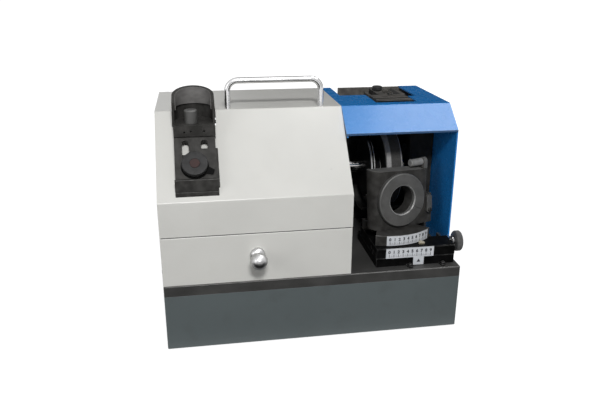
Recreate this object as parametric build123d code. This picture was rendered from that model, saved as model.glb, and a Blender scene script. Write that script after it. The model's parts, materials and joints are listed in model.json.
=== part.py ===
from build123d import *
import os
from math import atan2, cos, degrees, radians, sin, tan

# Tap grinder for the bench: a sheet base with a thick machine plate, a white casing over the motor and a
# drawer, a setting station on the casing's slope, and a grinding station under a blue hood.
# Frame: +X to the right, the front faces -Y, +Z up, origin at the centre of the footprint on the bench.
# All sizes are millimetres. Names that end in _H are heights above the machine plate, and names that end
# in _IN are distances behind the front face.

# Clearances
GAP = 0.3               # between pieces that move past each other
FIT = 0.05              # radial, a pin or shaft in its bore
SEAT = 0.02             # between curved faces that rest on each other

# Base
BASE_W = 400.0
BASE_D = 226.0
BASE_CORNER_R = 2.0
FOOT_PROUD = 3.0
FOOT_R = 14.0
FOOT_INSET = 30.0
FOOT_PLUG_R = 4.0
FOOT_PLUG_L = 5.0
BOX_TALL = 76.5
BOX_SHEET = 2.5
BOX_TOP_LIP = 18.0
BOX_FLOOR_LIP = 48.0
PLATE_T = 14.5
PLATE_BREAK = 0.8

# White casing
SHEET = 2.0
SEAM_H = 67.8
SEAM_GAP = 1.2
BEND_H = 113.0
FOLD_IN = 84.0
ROOF_H = 209.8
FOLD_R = 3.0
PANEL_PLAY = 0.2
PANEL_INSET = 1.0
SPINDLE_HOLE_R = 32.0
VENT_ROWS = 9
VENT_PITCH = 9.0
VENT_L = 70.0
VENT_W = 3.6
VENT_LOW_H = 95.0

# Drawer
DRAWER_FRONT_DEEP = 16.0
DRAWER_EDGE_R = 1.2
DRAWER_TRAVEL = 130.0
TRAY_SHEET = 1.5
TRAY_FLOOR_H = 2.5
TRAY_DEEP = 178.0
RUNNER_H = 38.0
RUNNER_SHEET = 2.0
RUNNER_SHELF = 9.0
RUNNER_TALL = 12.0
KNOB_BALL_R = 11.0
KNOB_REACH = 21.0
KNOB_NECK_R = 5.5
KNOB_BASE_R = 9.8
KNOB_BASE_T = 4.0
KNOB_H = 37.8
KNOB_SHIFT = -1.8

# Motor deck and motor
DECK_T = 4.0
DECK_H = 54.0
DECK_SIDE_ROOM = 8.0
DECK_FLANGE = 7.0
DECK_FRONT_IN = 40.0
DECK_REAR_ROOM = 10.0
SPINDLE_IN = 150.0
SPINDLE_H = 104.0
MOTOR_R = 46.0
STATOR_R = 40.0
ROTOR_R = 29.5
AIR_GAP = 0.5
MOTOR_LEFT_ROOM = 65.0
MOTOR_RIGHT_ROOM = 41.0
CORE_SHARE = 0.6        # of the motor tube's length
BELL_T = 8.0
BELL_BOSS_R = 20.0
BELL_BOSS_L = 18.0
BEARING_R = 14.0
BEARING_W = 9.0
MOTOR_FOOT_L = 22.0
MOTOR_FOOT_W = 72.0
FIN_COUNT = 12
FIN_T = 2.0
FIN_TALL = 3.0
CAPACITOR_R = 15.0
CAPACITOR_L = 62.0
CAPACITOR_STRAP = 22.0
CAPACITOR_IN = 62.0

# Spindle and wheel
SHAFT_R = 8.5
FAN_R = 34.0
FAN_W = 11.0
FAN_HUB_R = 13.0
FAN_BLADES = 8
FLANGE_FROM_RIGHT = 102.0
FLANGE_R = 46.0
FLANGE_T = 6.0
HUB_R = 24.0
WHEEL_FROM_RIGHT = 82.0
WHEEL_W = 23.0
WHEEL_R = 57.0
RIM_DEEP = 5.0
WHEEL_BREAK = 1.0
CLAMP_FLANGE_R = 22.0
CLAMP_FLANGE_T = 6.0
NUT_R = 13.0
NUT_T = 9.0
SHAFT_TIP = 4.0

# Wheel guard
GUARD_GAP = 6.0
GUARD_SHEET = 3.0
GUARD_LEFT_ROOM = 6.0
GUARD_RIGHT_ROOM = 24.0
GUARD_OPEN = 22.0       # the guard starts this far in front of the spindle axis
GUARD_HOLE_R = 32.0
GUARD_LEG_T = 20.0
GUARD_WING_LOW_H = 20.0
GUARD_WING_TOP_H = 166.0
GUARD_WING_PLAY = 1.0

# Carrying handle
HANDLE_LEFT_ROOM = 94.1
HANDLE_RIGHT_ROOM = 27.6
HANDLE_IN = 89.2
HANDLE_RISE = 36.3
HANDLE_R = 4.0
HANDLE_BEND_R = 14.0
HANDLE_STUD_R = 2.5
HANDLE_STUD_L = 9.0
HANDLE_NUT_R = 4.6
HANDLE_NUT_T = 4.0

# Setting station: x across, s up the slope from the bend, n out of the slope
STATION_FROM_LEFT = 49.7
STATION_W = 52.0
RAIL_T = 6.0
RAIL_LOW_S = 18.0
RAIL_HIGH_S = 70.0
RAIL_STEP_S = 62.0
RAIL_OVERHANG = 2.0
STACK_T = 14.0          # from the slope to the top of the sliding plate
NOSE_IN = 4.8
NOSE_S = 25.0
NOSE_OVERHANG = 0.6
NOSE_LEFT = 0.9
PLATE_TRIM = 0.9
PLATE_HIGH_S = 83.0
PLATE_LOW_PLAY = 0.4
GROOVE_BREAK = 1.6
SLOT_W = 8.6
SLOT_LOW_S = 33.0
SLOT_HIGH_S = 78.0
WINDOW_LOW_S = 64.5
SLOT_SPREAD = 23.6
SLOT_SHIFT = -0.4
SETTING_TRAVEL = 10.0
PIN_R = 4.0
PIN_S = 49.0
STUD_R = 3.0
STUD_SHIFT = -1.5
STUD_S = 42.0
STUD_L = 20.4
CLAMP_KNOB_R = 16.2
CLAMP_KNOB_T = 7.5
CLAMP_BOSS_R = 10.0
CLAMP_BOSS_T = 2.5
CLAMP_CAP_R = 6.0
CLAMP_CAP_T = 1.5
CRADLE_FLOOR_H = 198.7
CRADLE_FLOOR_T = 5.0
CRADLE_TOP_H = 239.7
CRADLE_RIM_TILT = 16.0   # the rim falls towards the front
CRADLE_LIP_H = 217.0
CRADLE_AXIS_IN = 73.0
CRADLE_FRONT_IN = 52.0
CRADLE_WALL = 4.8
CRADLE_UNDERCUT = 2.2
CRADLE_ROOM = 1.5
LEDGE_SEAM_X = 9.2
LEDGE_SEAM_W = 0.9
LEDGE_SEAM_T = 1.4
LEDGE_HOLES = ((-12.6, 5.5), (-4.5, 6.3), (12.1, 6.2))
LEDGE_HOLE_R = 1.3
LEDGE_HOLE_T = 3.0
NOSE_LINE_UP = 5.6
NOSE_LINE_W = 1.2
NOSE_LINE_T = 0.9
POST_IN = 61.0
POST_SHIFT = -3.6
POST_R = 8.4
POST_TALL = 17.0
POST_BREAK = 1.2

# Blue hood
HOOD_W = 154.0
HOOD_SHEET = 2.0
HOOD_IN = 47.0
EAVE_H = 179.8
HOOD_FLANGE = 4.0
HOOD_SPLIT = 0.3
CUT_IN = 158.0
CUT_LEFT = 14.5
CUT_RIGHT = 29.7
NOTCH_IN = 141.0
NOTCH_W = 22.0
TONGUE_CUT_PLAY = 4.0
BACK_FROM_RIGHT = 128.0
BACK_T = 2.0
BACK_ROOM = 2.0

# Slide base and cross slide
SLIDE_FROM_RIGHT = 116.0
SLIDE_L = 111.0
SLIDE_IN = 13.0
SLIDE_DEEP = 33.0
SLIDE_BASE_T = 12.4
SLIDE_T = 14.5
SLIDE_BASE_SETBACK = 1.0
SLIDE_EDGE_R = 1.0
SLIDE_PLUS = 10.0
SLIDE_MINUS = 2.0
TONGUE_W = 62.0
TONGUE_PAST_PIVOT = 16.0
DOVE_IN = 24.0
DOVE_NECK = 8.0
DOVE_TALL = 6.0
DOVE_ANGLE = 60.0
GIB_T = 2.0
SCREW_IN = 39.0
SCREW_UP = 8.3          # screw axis above the slide's underside
SCREW_R = 3.0
SCREW_TAIL = 84.0
NUT_L = 14.0
NUT_W = 9.0
NUT_FROM_RIGHT = 54.0
BRACKET_T = 4.0
BRACKET_DEEP = 14.0
DIAL_R = 7.4
DIAL_T = 4.5
FEED_KNOB_R = 14.5
FEED_KNOB_T = 9.5
FEED_PITCH = 2.0
BASE_LUG_R = 4.0
BASE_LUG_T = 2.0
BASE_LUG_REACH = 5.0
BASE_SCREW_R = 1.6
BASE_SCREW_HEAD_R = 2.9
BASE_SCREW_HEAD_T = 3.2
BASE_SCREWS_FROM_RIGHT = (69.0, 22.5)
MARK_FROM_RIGHT = 56.3
MARK_PLATE_W = 15.0
MARK_PLATE_TALL = 11.6
MARK_PLATE_T = 1.0

# Swivel head: x across, y inward and z up from the machine plate, turned about the pivot
PIVOT_FROM_RIGHT = 87.0
PIVOT_IN = 100.0
YAW = 17.0
TILT = 6.0
SWIVEL_R = 79.0
SWIVEL_LEFT = 37.5
SWIVEL_RIGHT = 27.0
SWIVEL_HUB_R = 31.0
SWIVEL_T = 14.5
PIVOT_BOSS_R = 16.0
PIVOT_R = 8.0
PIVOT_HEAD_R = 11.0
PIVOT_HEAD_T = 4.0
LOCK_RADIUS = 24.0
LOCK_ANGLE = 20.0
LOCK_SPAN = 38.0
LOCK_R = 2.5
LOCK_HEAD_R = 4.5
LOCK_HEAD_T = 5.0
POINTER_FROM_RIGHT = 50.0
POINTER_W = 8.0
POINTER_T = 3.0
POINTER_L = 8.0
POINTER_GAP = 1.5
SEAT_REACH = 53.0       # pivot axis to the ring's face
CHUCK_H = 82.6
RING_R = 37.5
RING_T = 6.0
RING_BREAK = 1.0
BORE_R = 20.0
CAM_STEP = 1.5
BLOCK_T = 18.0
BLOCK_LEFT = 43.0
BLOCK_RIGHT = 44.0
BLOCK_TOP_H = 122.7
BLOCK_TOP_SLANT = 3.5
BLOCK_CORNER_R = 6.0
BLOCK_ROUND_R = 15.0    # left front corner
ARM_W = 4.5
ARM_R = 6.0
ARM_DOWN = 26.0
STOP_UP = 5.4
STOP_R = 2.5
STOP_HEAD_R = 5.2
STOP_HEAD_L = 20.5
STOP_TIP = 0.8
PAWL_X = 46.5
PAWL_W = 8.0
PAWL_L = 26.0
PAWL_T = 5.0
PAWL_PIVOT_UP = -21.0
PAWL_PIN_R = 1.8
PAWL_PIN_HEAD_R = 3.2
PAWL_PIN_HEAD_T = 1.6
LUG_W = 9.0
LUG_HIGH = 2.0
LUG_T = 12.0

# Second grinding port in the hood's roof
PORT_FROM_RIGHT = 63.0
PORT_W = 46.0
PORT_IN = 170.0
PORT_TOP_H = 203.4
PORT_SLIDE_W = 40.0
PORT_SLIDE_T = 7.5
PORT_SLIDE_L = 55.0
PORT_SLIDE_IN = 149.0
PORT_STUD_IN = 184.0
PORT_SHELF_IN = 117.0
PORT_SHELF_T = 9.0
TONGUE_IN = 105.0
TONGUE_PLATE_W = 51.0
TONGUE_SHIFT = -8.5
TONGUE_GROOVES = ((108.0, 4.5), (119.5, 7.0))   # from the front, and width
TONGUE_GROOVE_T = 1.5
PORT_TRAVEL = 5.0
PORT_KEY_W = 9.0
PORT_KEY_T = 4.0
PORT_VEE_W = 14.0
PORT_VEE_X = 8.0
PORT_STUD_X = -13.0
PORT_STUD_R = 2.5
PORT_STUD_DOWN = 12.0
PORT_KNOB_R = 7.5
PORT_KNOB_T = 6.5

# Power inlet and switch on the rear panel
INLET_FROM_LEFT = 104.0
SWITCH_FROM_LEFT = 50.0
POWER_H = 30.0
INLET_W = 27.0
INLET_TALL = 20.0
INLET_DEEP = 18.0
INLET_LIP = 3.0
INLET_LIP_T = 2.0
INLET_WELL = 14.0
INLET_WALL = 2.5
SWITCH_W = 19.0
SWITCH_TALL = 27.0
SWITCH_DEEP = 16.0
SWITCH_WALL = 2.0
ROCKER_TILT = 8.0
ROCKER_T = 7.0
ROCKER_PIN_R = 1.5

# Cover screws
COVER_SCREW_R = 2.0
COVER_SCREW_HEAD_R = 4.0
COVER_SCREW_HEAD_T = 2.2
COVER_SCREW_L = 6.0
COVER_SCREW_H = 8.0
COVER_TAB_T = 3.0
COVER_TAB_W = 16.0
COVER_TAB_TALL = 16.0
COVER_EDGE = 12.0

# Places worked out from the sizes above
FRONT = -BASE_D / 2
REAR = BASE_D / 2
LEFT = -BASE_W / 2
RIGHT = BASE_W / 2
BOX_TOP = FOOT_PROUD + BOX_TALL
TOP = BOX_TOP + PLATE_T
SEAM_Z = TOP + SEAM_H
BEND_Z = TOP + BEND_H
ROOF_Z = TOP + ROOF_H
FOLD_Y = FRONT + FOLD_IN
CASE_RIGHT = RIGHT - HOOD_W
MOUTH_Y = FRONT + DRAWER_FRONT_DEEP + GAP
DECK_LEFT = LEFT + SHEET + DECK_SIDE_ROOM
DECK_RIGHT = CASE_RIGHT - SHEET - DECK_SIDE_ROOM
DECK_Z = TOP + DECK_H
SPINDLE_Y = FRONT + SPINDLE_IN
SPINDLE_Z = TOP + SPINDLE_H
MOTOR_LEFT = LEFT + MOTOR_LEFT_ROOM
MOTOR_RIGHT = CASE_RIGHT - MOTOR_RIGHT_ROOM
MOTOR_L = MOTOR_RIGHT - MOTOR_LEFT
CORE_L = MOTOR_L * CORE_SHARE
FLANGE_X = RIGHT - FLANGE_FROM_RIGHT
WHEEL_X = RIGHT - WHEEL_FROM_RIGHT
GUARD_R = WHEEL_R + GUARD_GAP
GUARD_LEFT = FLANGE_X - GUARD_LEFT_ROOM
STATION_X = LEFT + STATION_FROM_LEFT
STUD_X = STATION_X + STUD_SHIFT
SLOPE_DEG = degrees(atan2(ROOF_H - BEND_H, FOLD_IN))
SLOPE = Pos(0, FRONT, BEND_Z) * Rot(SLOPE_DEG, 0, 0)
HOOD_LEFT = CASE_RIGHT + HOOD_SPLIT
HOOD_Y = FRONT + HOOD_IN
BACK_LEFT = RIGHT - BACK_FROM_RIGHT
BACK_Y = REAR - BACK_ROOM - BACK_T
SLIDE_X = RIGHT - SLIDE_FROM_RIGHT
SLIDE_RIGHT = SLIDE_X + SLIDE_L
SLIDE_Y = FRONT + SLIDE_IN
SLIDE_REAR = SLIDE_Y + SLIDE_DEEP
SLIDE_Z = TOP + SLIDE_BASE_T + GAP
SLIDE_TOP = SLIDE_Z + SLIDE_T
NUT_X = RIGHT - NUT_FROM_RIGHT
BASE_SCREW_X = [RIGHT - d for d in BASE_SCREWS_FROM_RIGHT]
MARK_PLATE_X = RIGHT - MARK_FROM_RIGHT
SCREW_Y = FRONT + SCREW_IN
SCREW_Z = SLIDE_Z + SCREW_UP
PIVOT_X = RIGHT - PIVOT_FROM_RIGHT
PIVOT_Y = FRONT + PIVOT_IN
POINTER_X = RIGHT - POINTER_FROM_RIGHT
SWIVEL_H = SLIDE_TOP - TOP + GAP
SWIVEL_TOP_H = SWIVEL_H + SWIVEL_T
SWIVEL = Pos(PIVOT_X, PIVOT_Y, TOP) * Rot(0, 0, YAW)
CHUCK = SWIVEL * Pos(0, -SEAT_REACH, CHUCK_H) * Rot(90 - TILT, 0, 0)
CRADLE_Y = FRONT + CRADLE_AXIS_IN
CRADLE_R = STATION_W / 2 + 0.5
PORT_X = RIGHT - PORT_FROM_RIGHT
PORT_Z = TOP + PORT_TOP_H
PORT_SLIDE_Z = PORT_Z + GAP
PANEL_Y = REAR - PANEL_INSET - SHEET
INLET_X = LEFT + INLET_FROM_LEFT
SWITCH_X = LEFT + SWITCH_FROM_LEFT


def box(x0, x1, y0, y1, z0, z1):
    """A block between two corners."""
    return Pos((x0 + x1) / 2, (y0 + y1) / 2, (z0 + z1) / 2) * Box(x1 - x0, y1 - y0, z1 - z0)


def rod(radius, start, direction, length):
    """A round bar from a point along a direction."""
    return extrude(Plane(origin=start, z_dir=direction) * Circle(radius), amount=length)


def outline(*points):
    """A flat face through points."""
    return make_face(Polyline(*points, close=True))


def prism_x(face, x0, x1):
    """A face drawn in (y, z), run from x0 to x1."""
    return Pos(x0, 0, 0) * extrude(Plane.YZ * face, amount=x1 - x0)


def turned(*points):
    """A turned piece from its half outline, given as (radius, height) about Z."""
    return revolve(Plane.XZ * outline(*points), Axis.Z)


def along_x(x, y, z):
    """A place whose own Z points along +X."""
    return Pos(x, y, z) * Rot(0, 90, 0)


def slope_point(s, n):
    """(y, z) of a point on the casing's slope, s up the slope and n out of it."""
    angle = radians(SLOPE_DEG)
    return (FRONT + s * cos(angle) - n * sin(angle), BEND_Z + s * sin(angle) + n * cos(angle))


def slope_box(x0, x1, s0, s1, n0, n1):
    """A block laid on the slope."""
    return SLOPE * box(x0, x1, s0, s1, n0, n1)


def base_box():
    """Folded sheet box with a lip round its top and a wider one round its floor."""
    body = box(LEFT, RIGHT, FRONT, REAR, FOOT_PROUD, BOX_TOP)
    body = fillet(body.edges().filter_by(Axis.Z), BASE_CORNER_R)
    t = BOX_SHEET
    body -= box(LEFT + t, RIGHT - t, FRONT + t, REAR - t, FOOT_PROUD + t, BOX_TOP - t)
    for lip, z0, z1 in ((BOX_TOP_LIP, BOX_TOP - t, BOX_TOP), (BOX_FLOOR_LIP, FOOT_PROUD, FOOT_PROUD + t)):
        body -= box(LEFT + lip, RIGHT - lip, FRONT + lip, REAR - lip, z0, z1)
    for x, y in foot_places():
        body -= rod(FOOT_PLUG_R + FIT, (x, y, FOOT_PROUD), (0, 0, 1), BOX_SHEET)
    return body


def foot_places():
    """The four corners where the rubber feet sit."""
    x = RIGHT - FOOT_INSET
    y = REAR - FOOT_INSET
    return [(-x, -y), (x, -y), (-x, y), (x, y)]


def rubber_feet():
    """Four push-in feet: a tapered pad and a plug through the floor lip."""
    plug_top = FOOT_PROUD + FOOT_PLUG_L
    foot = turned(
        (0, 0), (FOOT_R - 1.5, 0), (FOOT_R, FOOT_PROUD), (FOOT_PLUG_R, FOOT_PROUD),
        (FOOT_PLUG_R, plug_top), (0, plug_top),
    )
    return [Pos(x, y, 0) * foot for x, y in foot_places()]


def base_plate():
    """Thick machine plate, flush with the box, with its upper edges broken."""
    plate = box(LEFT, RIGHT, FRONT, REAR, BOX_TOP, TOP)
    plate = fillet(plate.edges().filter_by(Axis.Z), BASE_CORNER_R)
    plate = chamfer(plate.faces().sort_by(Axis.Z)[-1].edges(), PLATE_BREAK)
    for x in BASE_SCREW_X:
        plate -= rod(BASE_SCREW_R + FIT, (x, lug_y(), BOX_TOP), (0, 0, 1), PLATE_T)
    for tab in cover_tabs():
        plate += tab
    return plate


def casing_face():
    """Side outline of the casing, with rounded folds at the bend and at the roof."""
    face = outline(
        (FRONT, SEAM_Z), (FRONT, BEND_Z), (FOLD_Y, ROOF_Z), (REAR, ROOF_Z),
        (REAR, TOP), (MOUTH_Y, TOP), (MOUTH_Y, SEAM_Z),
    )
    folds = [v for v in face.vertices() if v.Y > BEND_Z - 1 and v.X < REAR - 1]
    return fillet(folds, FOLD_R)


def casing_shell():
    """White casing: one folded sheet, open below, behind and where the drawer goes in."""
    face = casing_face()
    x0 = LEFT + SHEET
    x1 = CASE_RIGHT - SHEET
    body = prism_x(face, LEFT, CASE_RIGHT)
    body -= prism_x(offset(face, amount=-SHEET), x0, x1)
    body -= box(x0, x1, MOUTH_Y, REAR, TOP, TOP + SHEET)
    body -= box(x0, x1, REAR - SHEET, REAR, TOP, ROOF_Z - SHEET)
    body -= box(x0, x1, MOUTH_Y, MOUTH_Y + SHEET, TOP, SEAM_Z)
    body -= rod(SPINDLE_HOLE_R, (CASE_RIGHT - SHEET, SPINDLE_Y, SPINDLE_Z), (1, 0, 0), SHEET)
    for x in handle_feet():
        body -= rod(HANDLE_STUD_R + FIT, (x, FRONT + HANDLE_IN, ROOF_Z - SHEET), (0, 0, 1), SHEET)
    for x, y in (rail_pin(), (STUD_X, STUD_S)):
        body -= SLOPE * rod(PIN_R, (x, y, -SHEET), (0, 0, 1), SHEET)
    for y in cover_screw_rows(MOUTH_Y):
        body -= rod(COVER_SCREW_R + FIT, (LEFT, y, TOP + COVER_SCREW_H), (1, 0, 0), SHEET)
    return body - cradle_opening()


def cradle_opening():
    """Hole in the slope and roof that lets the setting cradle sit low and move up the slope."""
    half = CRADLE_R + CRADLE_ROOM
    bottom = TOP + CRADLE_FLOOR_H - CRADLE_FLOOR_T
    front = FRONT + (bottom - BEND_Z) / tan(radians(SLOPE_DEG)) - CRADLE_ROOM
    rear = CRADLE_Y + CRADLE_R + CRADLE_ROOM + SETTING_TRAVEL * cos(radians(SLOPE_DEG))
    low = bottom - 2 * CRADLE_ROOM - SHEET
    return box(STATION_X - half, STATION_X + half, front, rear, low, ROOF_Z + SHEET)


def casing_rear_panel():
    """Rear cover with rows of vents and the cut-outs for the inlet and the switch."""
    x0 = LEFT + SHEET + PANEL_PLAY
    x1 = CASE_RIGHT - SHEET - PANEL_PLAY
    panel = box(x0, x1, PANEL_Y, PANEL_Y + SHEET, TOP, ROOF_Z - SHEET - PANEL_PLAY)
    vent = extrude(Plane.XZ * SlotOverall(VENT_L, VENT_W), amount=-SHEET)
    centre = (x0 + x1) / 2
    spread = VENT_L / 2 + VENT_W
    for row in range(VENT_ROWS):
        z = TOP + VENT_LOW_H + row * VENT_PITCH
        for side in (-1, 1):
            panel -= Pos(centre + side * spread, PANEL_Y, z) * vent
    panel -= power_cut(INLET_X, INLET_W, INLET_TALL)
    return panel - power_cut(SWITCH_X, SWITCH_W, SWITCH_TALL)


def power_cut(x, width, tall):
    """Rectangle through the rear panel."""
    w = width / 2 + FIT
    h = tall / 2 + FIT
    z = TOP + POWER_H
    return box(x - w, x + w, PANEL_Y, PANEL_Y + SHEET, z - h, z + h)


def power_inlet():
    """Mains inlet socket: a lipped body with an open well."""
    z = TOP + POWER_H
    w = INLET_W / 2
    h = INLET_TALL / 2
    face_y = PANEL_Y + SHEET
    body = box(INLET_X - w, INLET_X + w, face_y - INLET_DEEP, face_y, z - h, z + h)
    lip = INLET_LIP
    mouth = face_y + INLET_LIP_T
    body += box(INLET_X - w - lip, INLET_X + w + lip, face_y, mouth, z - h - lip, z + h + lip)
    w -= INLET_WALL
    h -= INLET_WALL
    floor = mouth - INLET_WELL
    body -= box(INLET_X - w, INLET_X + w, floor, mouth, z - h, z + h)
    for pin_x in (-7, 0, 7):
        body += box(INLET_X + pin_x - 1, INLET_X + pin_x + 1, floor, face_y, z - 2, z + 2)
    return body


def switch_housing():
    """Frame of the rocker switch, snapped into the rear panel."""
    z = TOP + POWER_H
    w = SWITCH_W / 2
    h = SWITCH_TALL / 2
    face_y = PANEL_Y + SHEET
    body = box(SWITCH_X - w, SWITCH_X + w, face_y - SWITCH_DEEP, face_y, z - h, z + h)
    body += box(SWITCH_X - w - 2, SWITCH_X + w + 2, face_y, face_y + 2, z - h - 2, z + h + 2)
    w -= SWITCH_WALL
    h -= SWITCH_WALL
    floor = face_y - SWITCH_DEEP + SWITCH_WALL
    body -= box(SWITCH_X - w, SWITCH_X + w, floor, face_y + 2, z - h, z + h)
    return body - rocker_pin(ROCKER_PIN_R + FIT)


def rocker_pivot():
    """(y, z) of the rocker's pin."""
    return (PANEL_Y + SHEET - 1, TOP + POWER_H)


def rocker_pin(radius):
    """Pin across the switch that the rocker tilts on."""
    half = SWITCH_W / 2 - FIT
    return rod(radius, (SWITCH_X - half, *rocker_pivot()), (1, 0, 0), 2 * half)


def switch_rocker():
    """Rocker with a shallow vee front, tilted to off."""
    y, z = rocker_pivot()
    half = SWITCH_TALL / 2 - SWITCH_WALL - 4 * GAP
    side = SWITCH_W / 2 - SWITCH_WALL - GAP
    lift = half * tan(radians(ROCKER_TILT))
    face = outline(
        (-ROCKER_T, -half * 0.6), (lift, -half), (ROCKER_T * 0.3, 0), (lift, half), (-ROCKER_T, half * 0.6)
    )
    rocker = prism_x(face, -side, side)
    return Pos(SWITCH_X, y, z) * Rot(ROCKER_TILT, 0, 0) * rocker + rocker_pin(ROCKER_PIN_R)


def drawer_front():
    """Pan-shaped drawer front that covers the casing's full width."""
    body = box(LEFT, CASE_RIGHT, FRONT, FRONT + DRAWER_FRONT_DEEP, TOP + GAP, SEAM_Z - SEAM_GAP)
    body = fillet(body.faces().sort_by(Axis.Y)[0].edges(), DRAWER_EDGE_R)
    inner_top = SEAM_Z - SEAM_GAP - SHEET
    x0 = LEFT + SHEET
    x1 = CASE_RIGHT - SHEET
    return body - box(x0, x1, FRONT + SHEET, FRONT + DRAWER_FRONT_DEEP, TOP + GAP + SHEET, inner_top)


def drawer_tray():
    """Open tray whose top flanges ride on the runners."""
    x0 = DECK_LEFT + DECK_T + RUNNER_SHELF + 1
    x1 = DECK_RIGHT - DECK_T - RUNNER_SHELF - 1
    y0 = FRONT + SHEET
    y1 = y0 + TRAY_DEEP
    z0 = TOP + TRAY_FLOOR_H
    z1 = TOP + RUNNER_H + RUNNER_SHEET + GAP
    t = TRAY_SHEET
    body = box(x0, x1, y0, y1, z0, z1 + t)
    out = RUNNER_SHELF - RUNNER_SHEET
    body += box(x0 - out, x1 + out, MOUTH_Y + SHEET + 2, y1, z1, z1 + t)
    return body - box(x0 + t, x1 - t, y0 + t, y1 - t, z0 + t, z1 + t)


def drawer_runners():
    """Two angle runners on the legs of the motor deck."""
    y0 = FRONT + DECK_FRONT_IN
    y1 = REAR - DECK_REAR_ROOM - 4
    z = TOP + RUNNER_H
    left = DECK_LEFT + DECK_T
    right = DECK_RIGHT - DECK_T
    rails = []
    for x, side in ((left, 1), (right, -1)):
        web = sorted((x, x + side * RUNNER_SHEET))
        shelf = sorted((x, x + side * RUNNER_SHELF))
        rail = box(*web, y0, y1, z, z + RUNNER_TALL)
        rails.append(rail + box(*shelf, y0, y1, z, z + RUNNER_SHEET))
    return rails


def drawer_knob():
    """Turned ball knob with a neck and a small round base."""
    neck = turned(
        (0, 0), (KNOB_BASE_R, 0), (KNOB_BASE_R, KNOB_BASE_T), (KNOB_BASE_R * 0.85, KNOB_BASE_T * 1.6),
        (KNOB_NECK_R, KNOB_BASE_T * 2), (KNOB_NECK_R, KNOB_REACH), (0, KNOB_REACH),
    )
    knob = neck + Pos(0, 0, KNOB_REACH) * Sphere(KNOB_BALL_R)
    return Pos((LEFT + CASE_RIGHT) / 2 + KNOB_SHIFT, FRONT, TOP + KNOB_H) * Rot(90, 0, 0) * knob


def motor_deck():
    """Bridge over the drawer that carries the motor, with flanged feet on the machine plate."""
    y0 = FRONT + DECK_FRONT_IN
    y1 = REAR - DECK_REAR_ROOM
    body = box(DECK_LEFT, DECK_RIGHT, y0, y1, DECK_Z - DECK_T, DECK_Z)
    for x, side in ((DECK_LEFT, 1), (DECK_RIGHT, -1)):
        body += box(*sorted((x, x + side * DECK_T)), y0, y1, TOP, DECK_Z)
        body += box(*sorted((x, x + side * (DECK_T + DECK_FLANGE))), y0, y1, TOP, TOP + DECK_T)
    return body


def motor_housing():
    """Motor tube with cooling fins."""
    tube = turned((STATOR_R, 0), (MOTOR_R - FIN_TALL, 0), (MOTOR_R - FIN_TALL, MOTOR_L), (STATOR_R, MOTOR_L))
    for step in range(FIN_COUNT):
        fin = box(STATOR_R + 1, MOTOR_R, -FIN_T / 2, FIN_T / 2, 0, MOTOR_L)
        tube += Rot(0, 0, (step + 0.5) * 360 / FIN_COUNT) * fin
    return along_x(MOTOR_LEFT, SPINDLE_Y, SPINDLE_Z) * tube


def stator_core():
    """Laminated core with its winding heads, pressed into the tube."""
    bore = ROTOR_R + AIR_GAP
    head = (MOTOR_L - CORE_L) / 4
    z0 = (MOTOR_L - CORE_L) / 2
    z1 = z0 + CORE_L
    outer = STATOR_R - SEAT
    core = turned(
        (bore, z0), (bore + 2, z0), (bore + 2, z0 - head), (outer - 3, z0 - head), (outer - 3, z0),
        (outer, z0), (outer, z1), (outer - 3, z1), (outer - 3, z1 + head), (bore + 2, z1 + head),
        (bore + 2, z1), (bore, z1),
    )
    return along_x(MOTOR_LEFT, SPINDLE_Y, SPINDLE_Z) * core


def end_bell():
    """Turned end cover with the bearing boss, seen from the motor outwards."""
    bore = BEARING_R + SEAT
    return turned(
        (bore, 0), (MOTOR_R, 0), (MOTOR_R, BELL_T), (BELL_BOSS_R, BELL_T + 3),
        (BELL_BOSS_R, BELL_BOSS_L), (bore, BELL_BOSS_L),
    )


def motor_end_bells():
    """Both end covers, in mirror image."""
    drive = along_x(MOTOR_RIGHT, SPINDLE_Y, SPINDLE_Z) * end_bell()
    fan = Pos(MOTOR_LEFT, SPINDLE_Y, SPINDLE_Z) * Rot(0, -90, 0) * end_bell()
    return [drive, fan]


def motor_bearings():
    """A bearing in each end cover."""
    inset = (BELL_BOSS_L - BEARING_W) / 2
    ring = turned((SHAFT_R + FIT, 0), (BEARING_R, 0), (BEARING_R, BEARING_W), (SHAFT_R + FIT, BEARING_W))
    drive = along_x(MOTOR_RIGHT + inset, SPINDLE_Y, SPINDLE_Z) * ring
    fan = along_x(MOTOR_LEFT - inset - BEARING_W, SPINDLE_Y, SPINDLE_Z) * ring
    return [drive, fan]


def motor_feet():
    """Two saddles between the deck and the end covers."""
    saddles = []
    for x0 in (MOTOR_LEFT - BELL_T, MOTOR_RIGHT + BELL_T - MOTOR_FOOT_L):
        x1 = x0 + MOTOR_FOOT_L
        half = MOTOR_FOOT_W / 2
        saddle = box(x0, x1, SPINDLE_Y - half, SPINDLE_Y + half, DECK_Z, SPINDLE_Z - MOTOR_R / 2)
        saddles.append(saddle - rod(MOTOR_R + SEAT, (x0, SPINDLE_Y, SPINDLE_Z), (1, 0, 0), x1 - x0))
    return saddles


def motor_capacitor():
    """Run capacitor in a strap foot, in front of the motor."""
    y = FRONT + CAPACITOR_IN
    x0 = MOTOR_LEFT + (MOTOR_L - CAPACITOR_L) / 2
    can = rod(CAPACITOR_R, (x0, y, DECK_Z + CAPACITOR_R + 1), (1, 0, 0), CAPACITOR_L)
    can = chamfer(can.edges(), 1.5)
    middle = x0 + CAPACITOR_L / 2
    half = CAPACITOR_STRAP / 2
    return can + box(middle - half, middle + half, y - CAPACITOR_R, y + CAPACITOR_R, DECK_Z, DECK_Z + 5)


def stack():
    """Places along the spindle where the wheel's pieces meet."""
    wheel_end = WHEEL_X + WHEEL_W
    clamp_end = wheel_end + CLAMP_FLANGE_T
    return wheel_end, clamp_end, clamp_end + NUT_T


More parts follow.
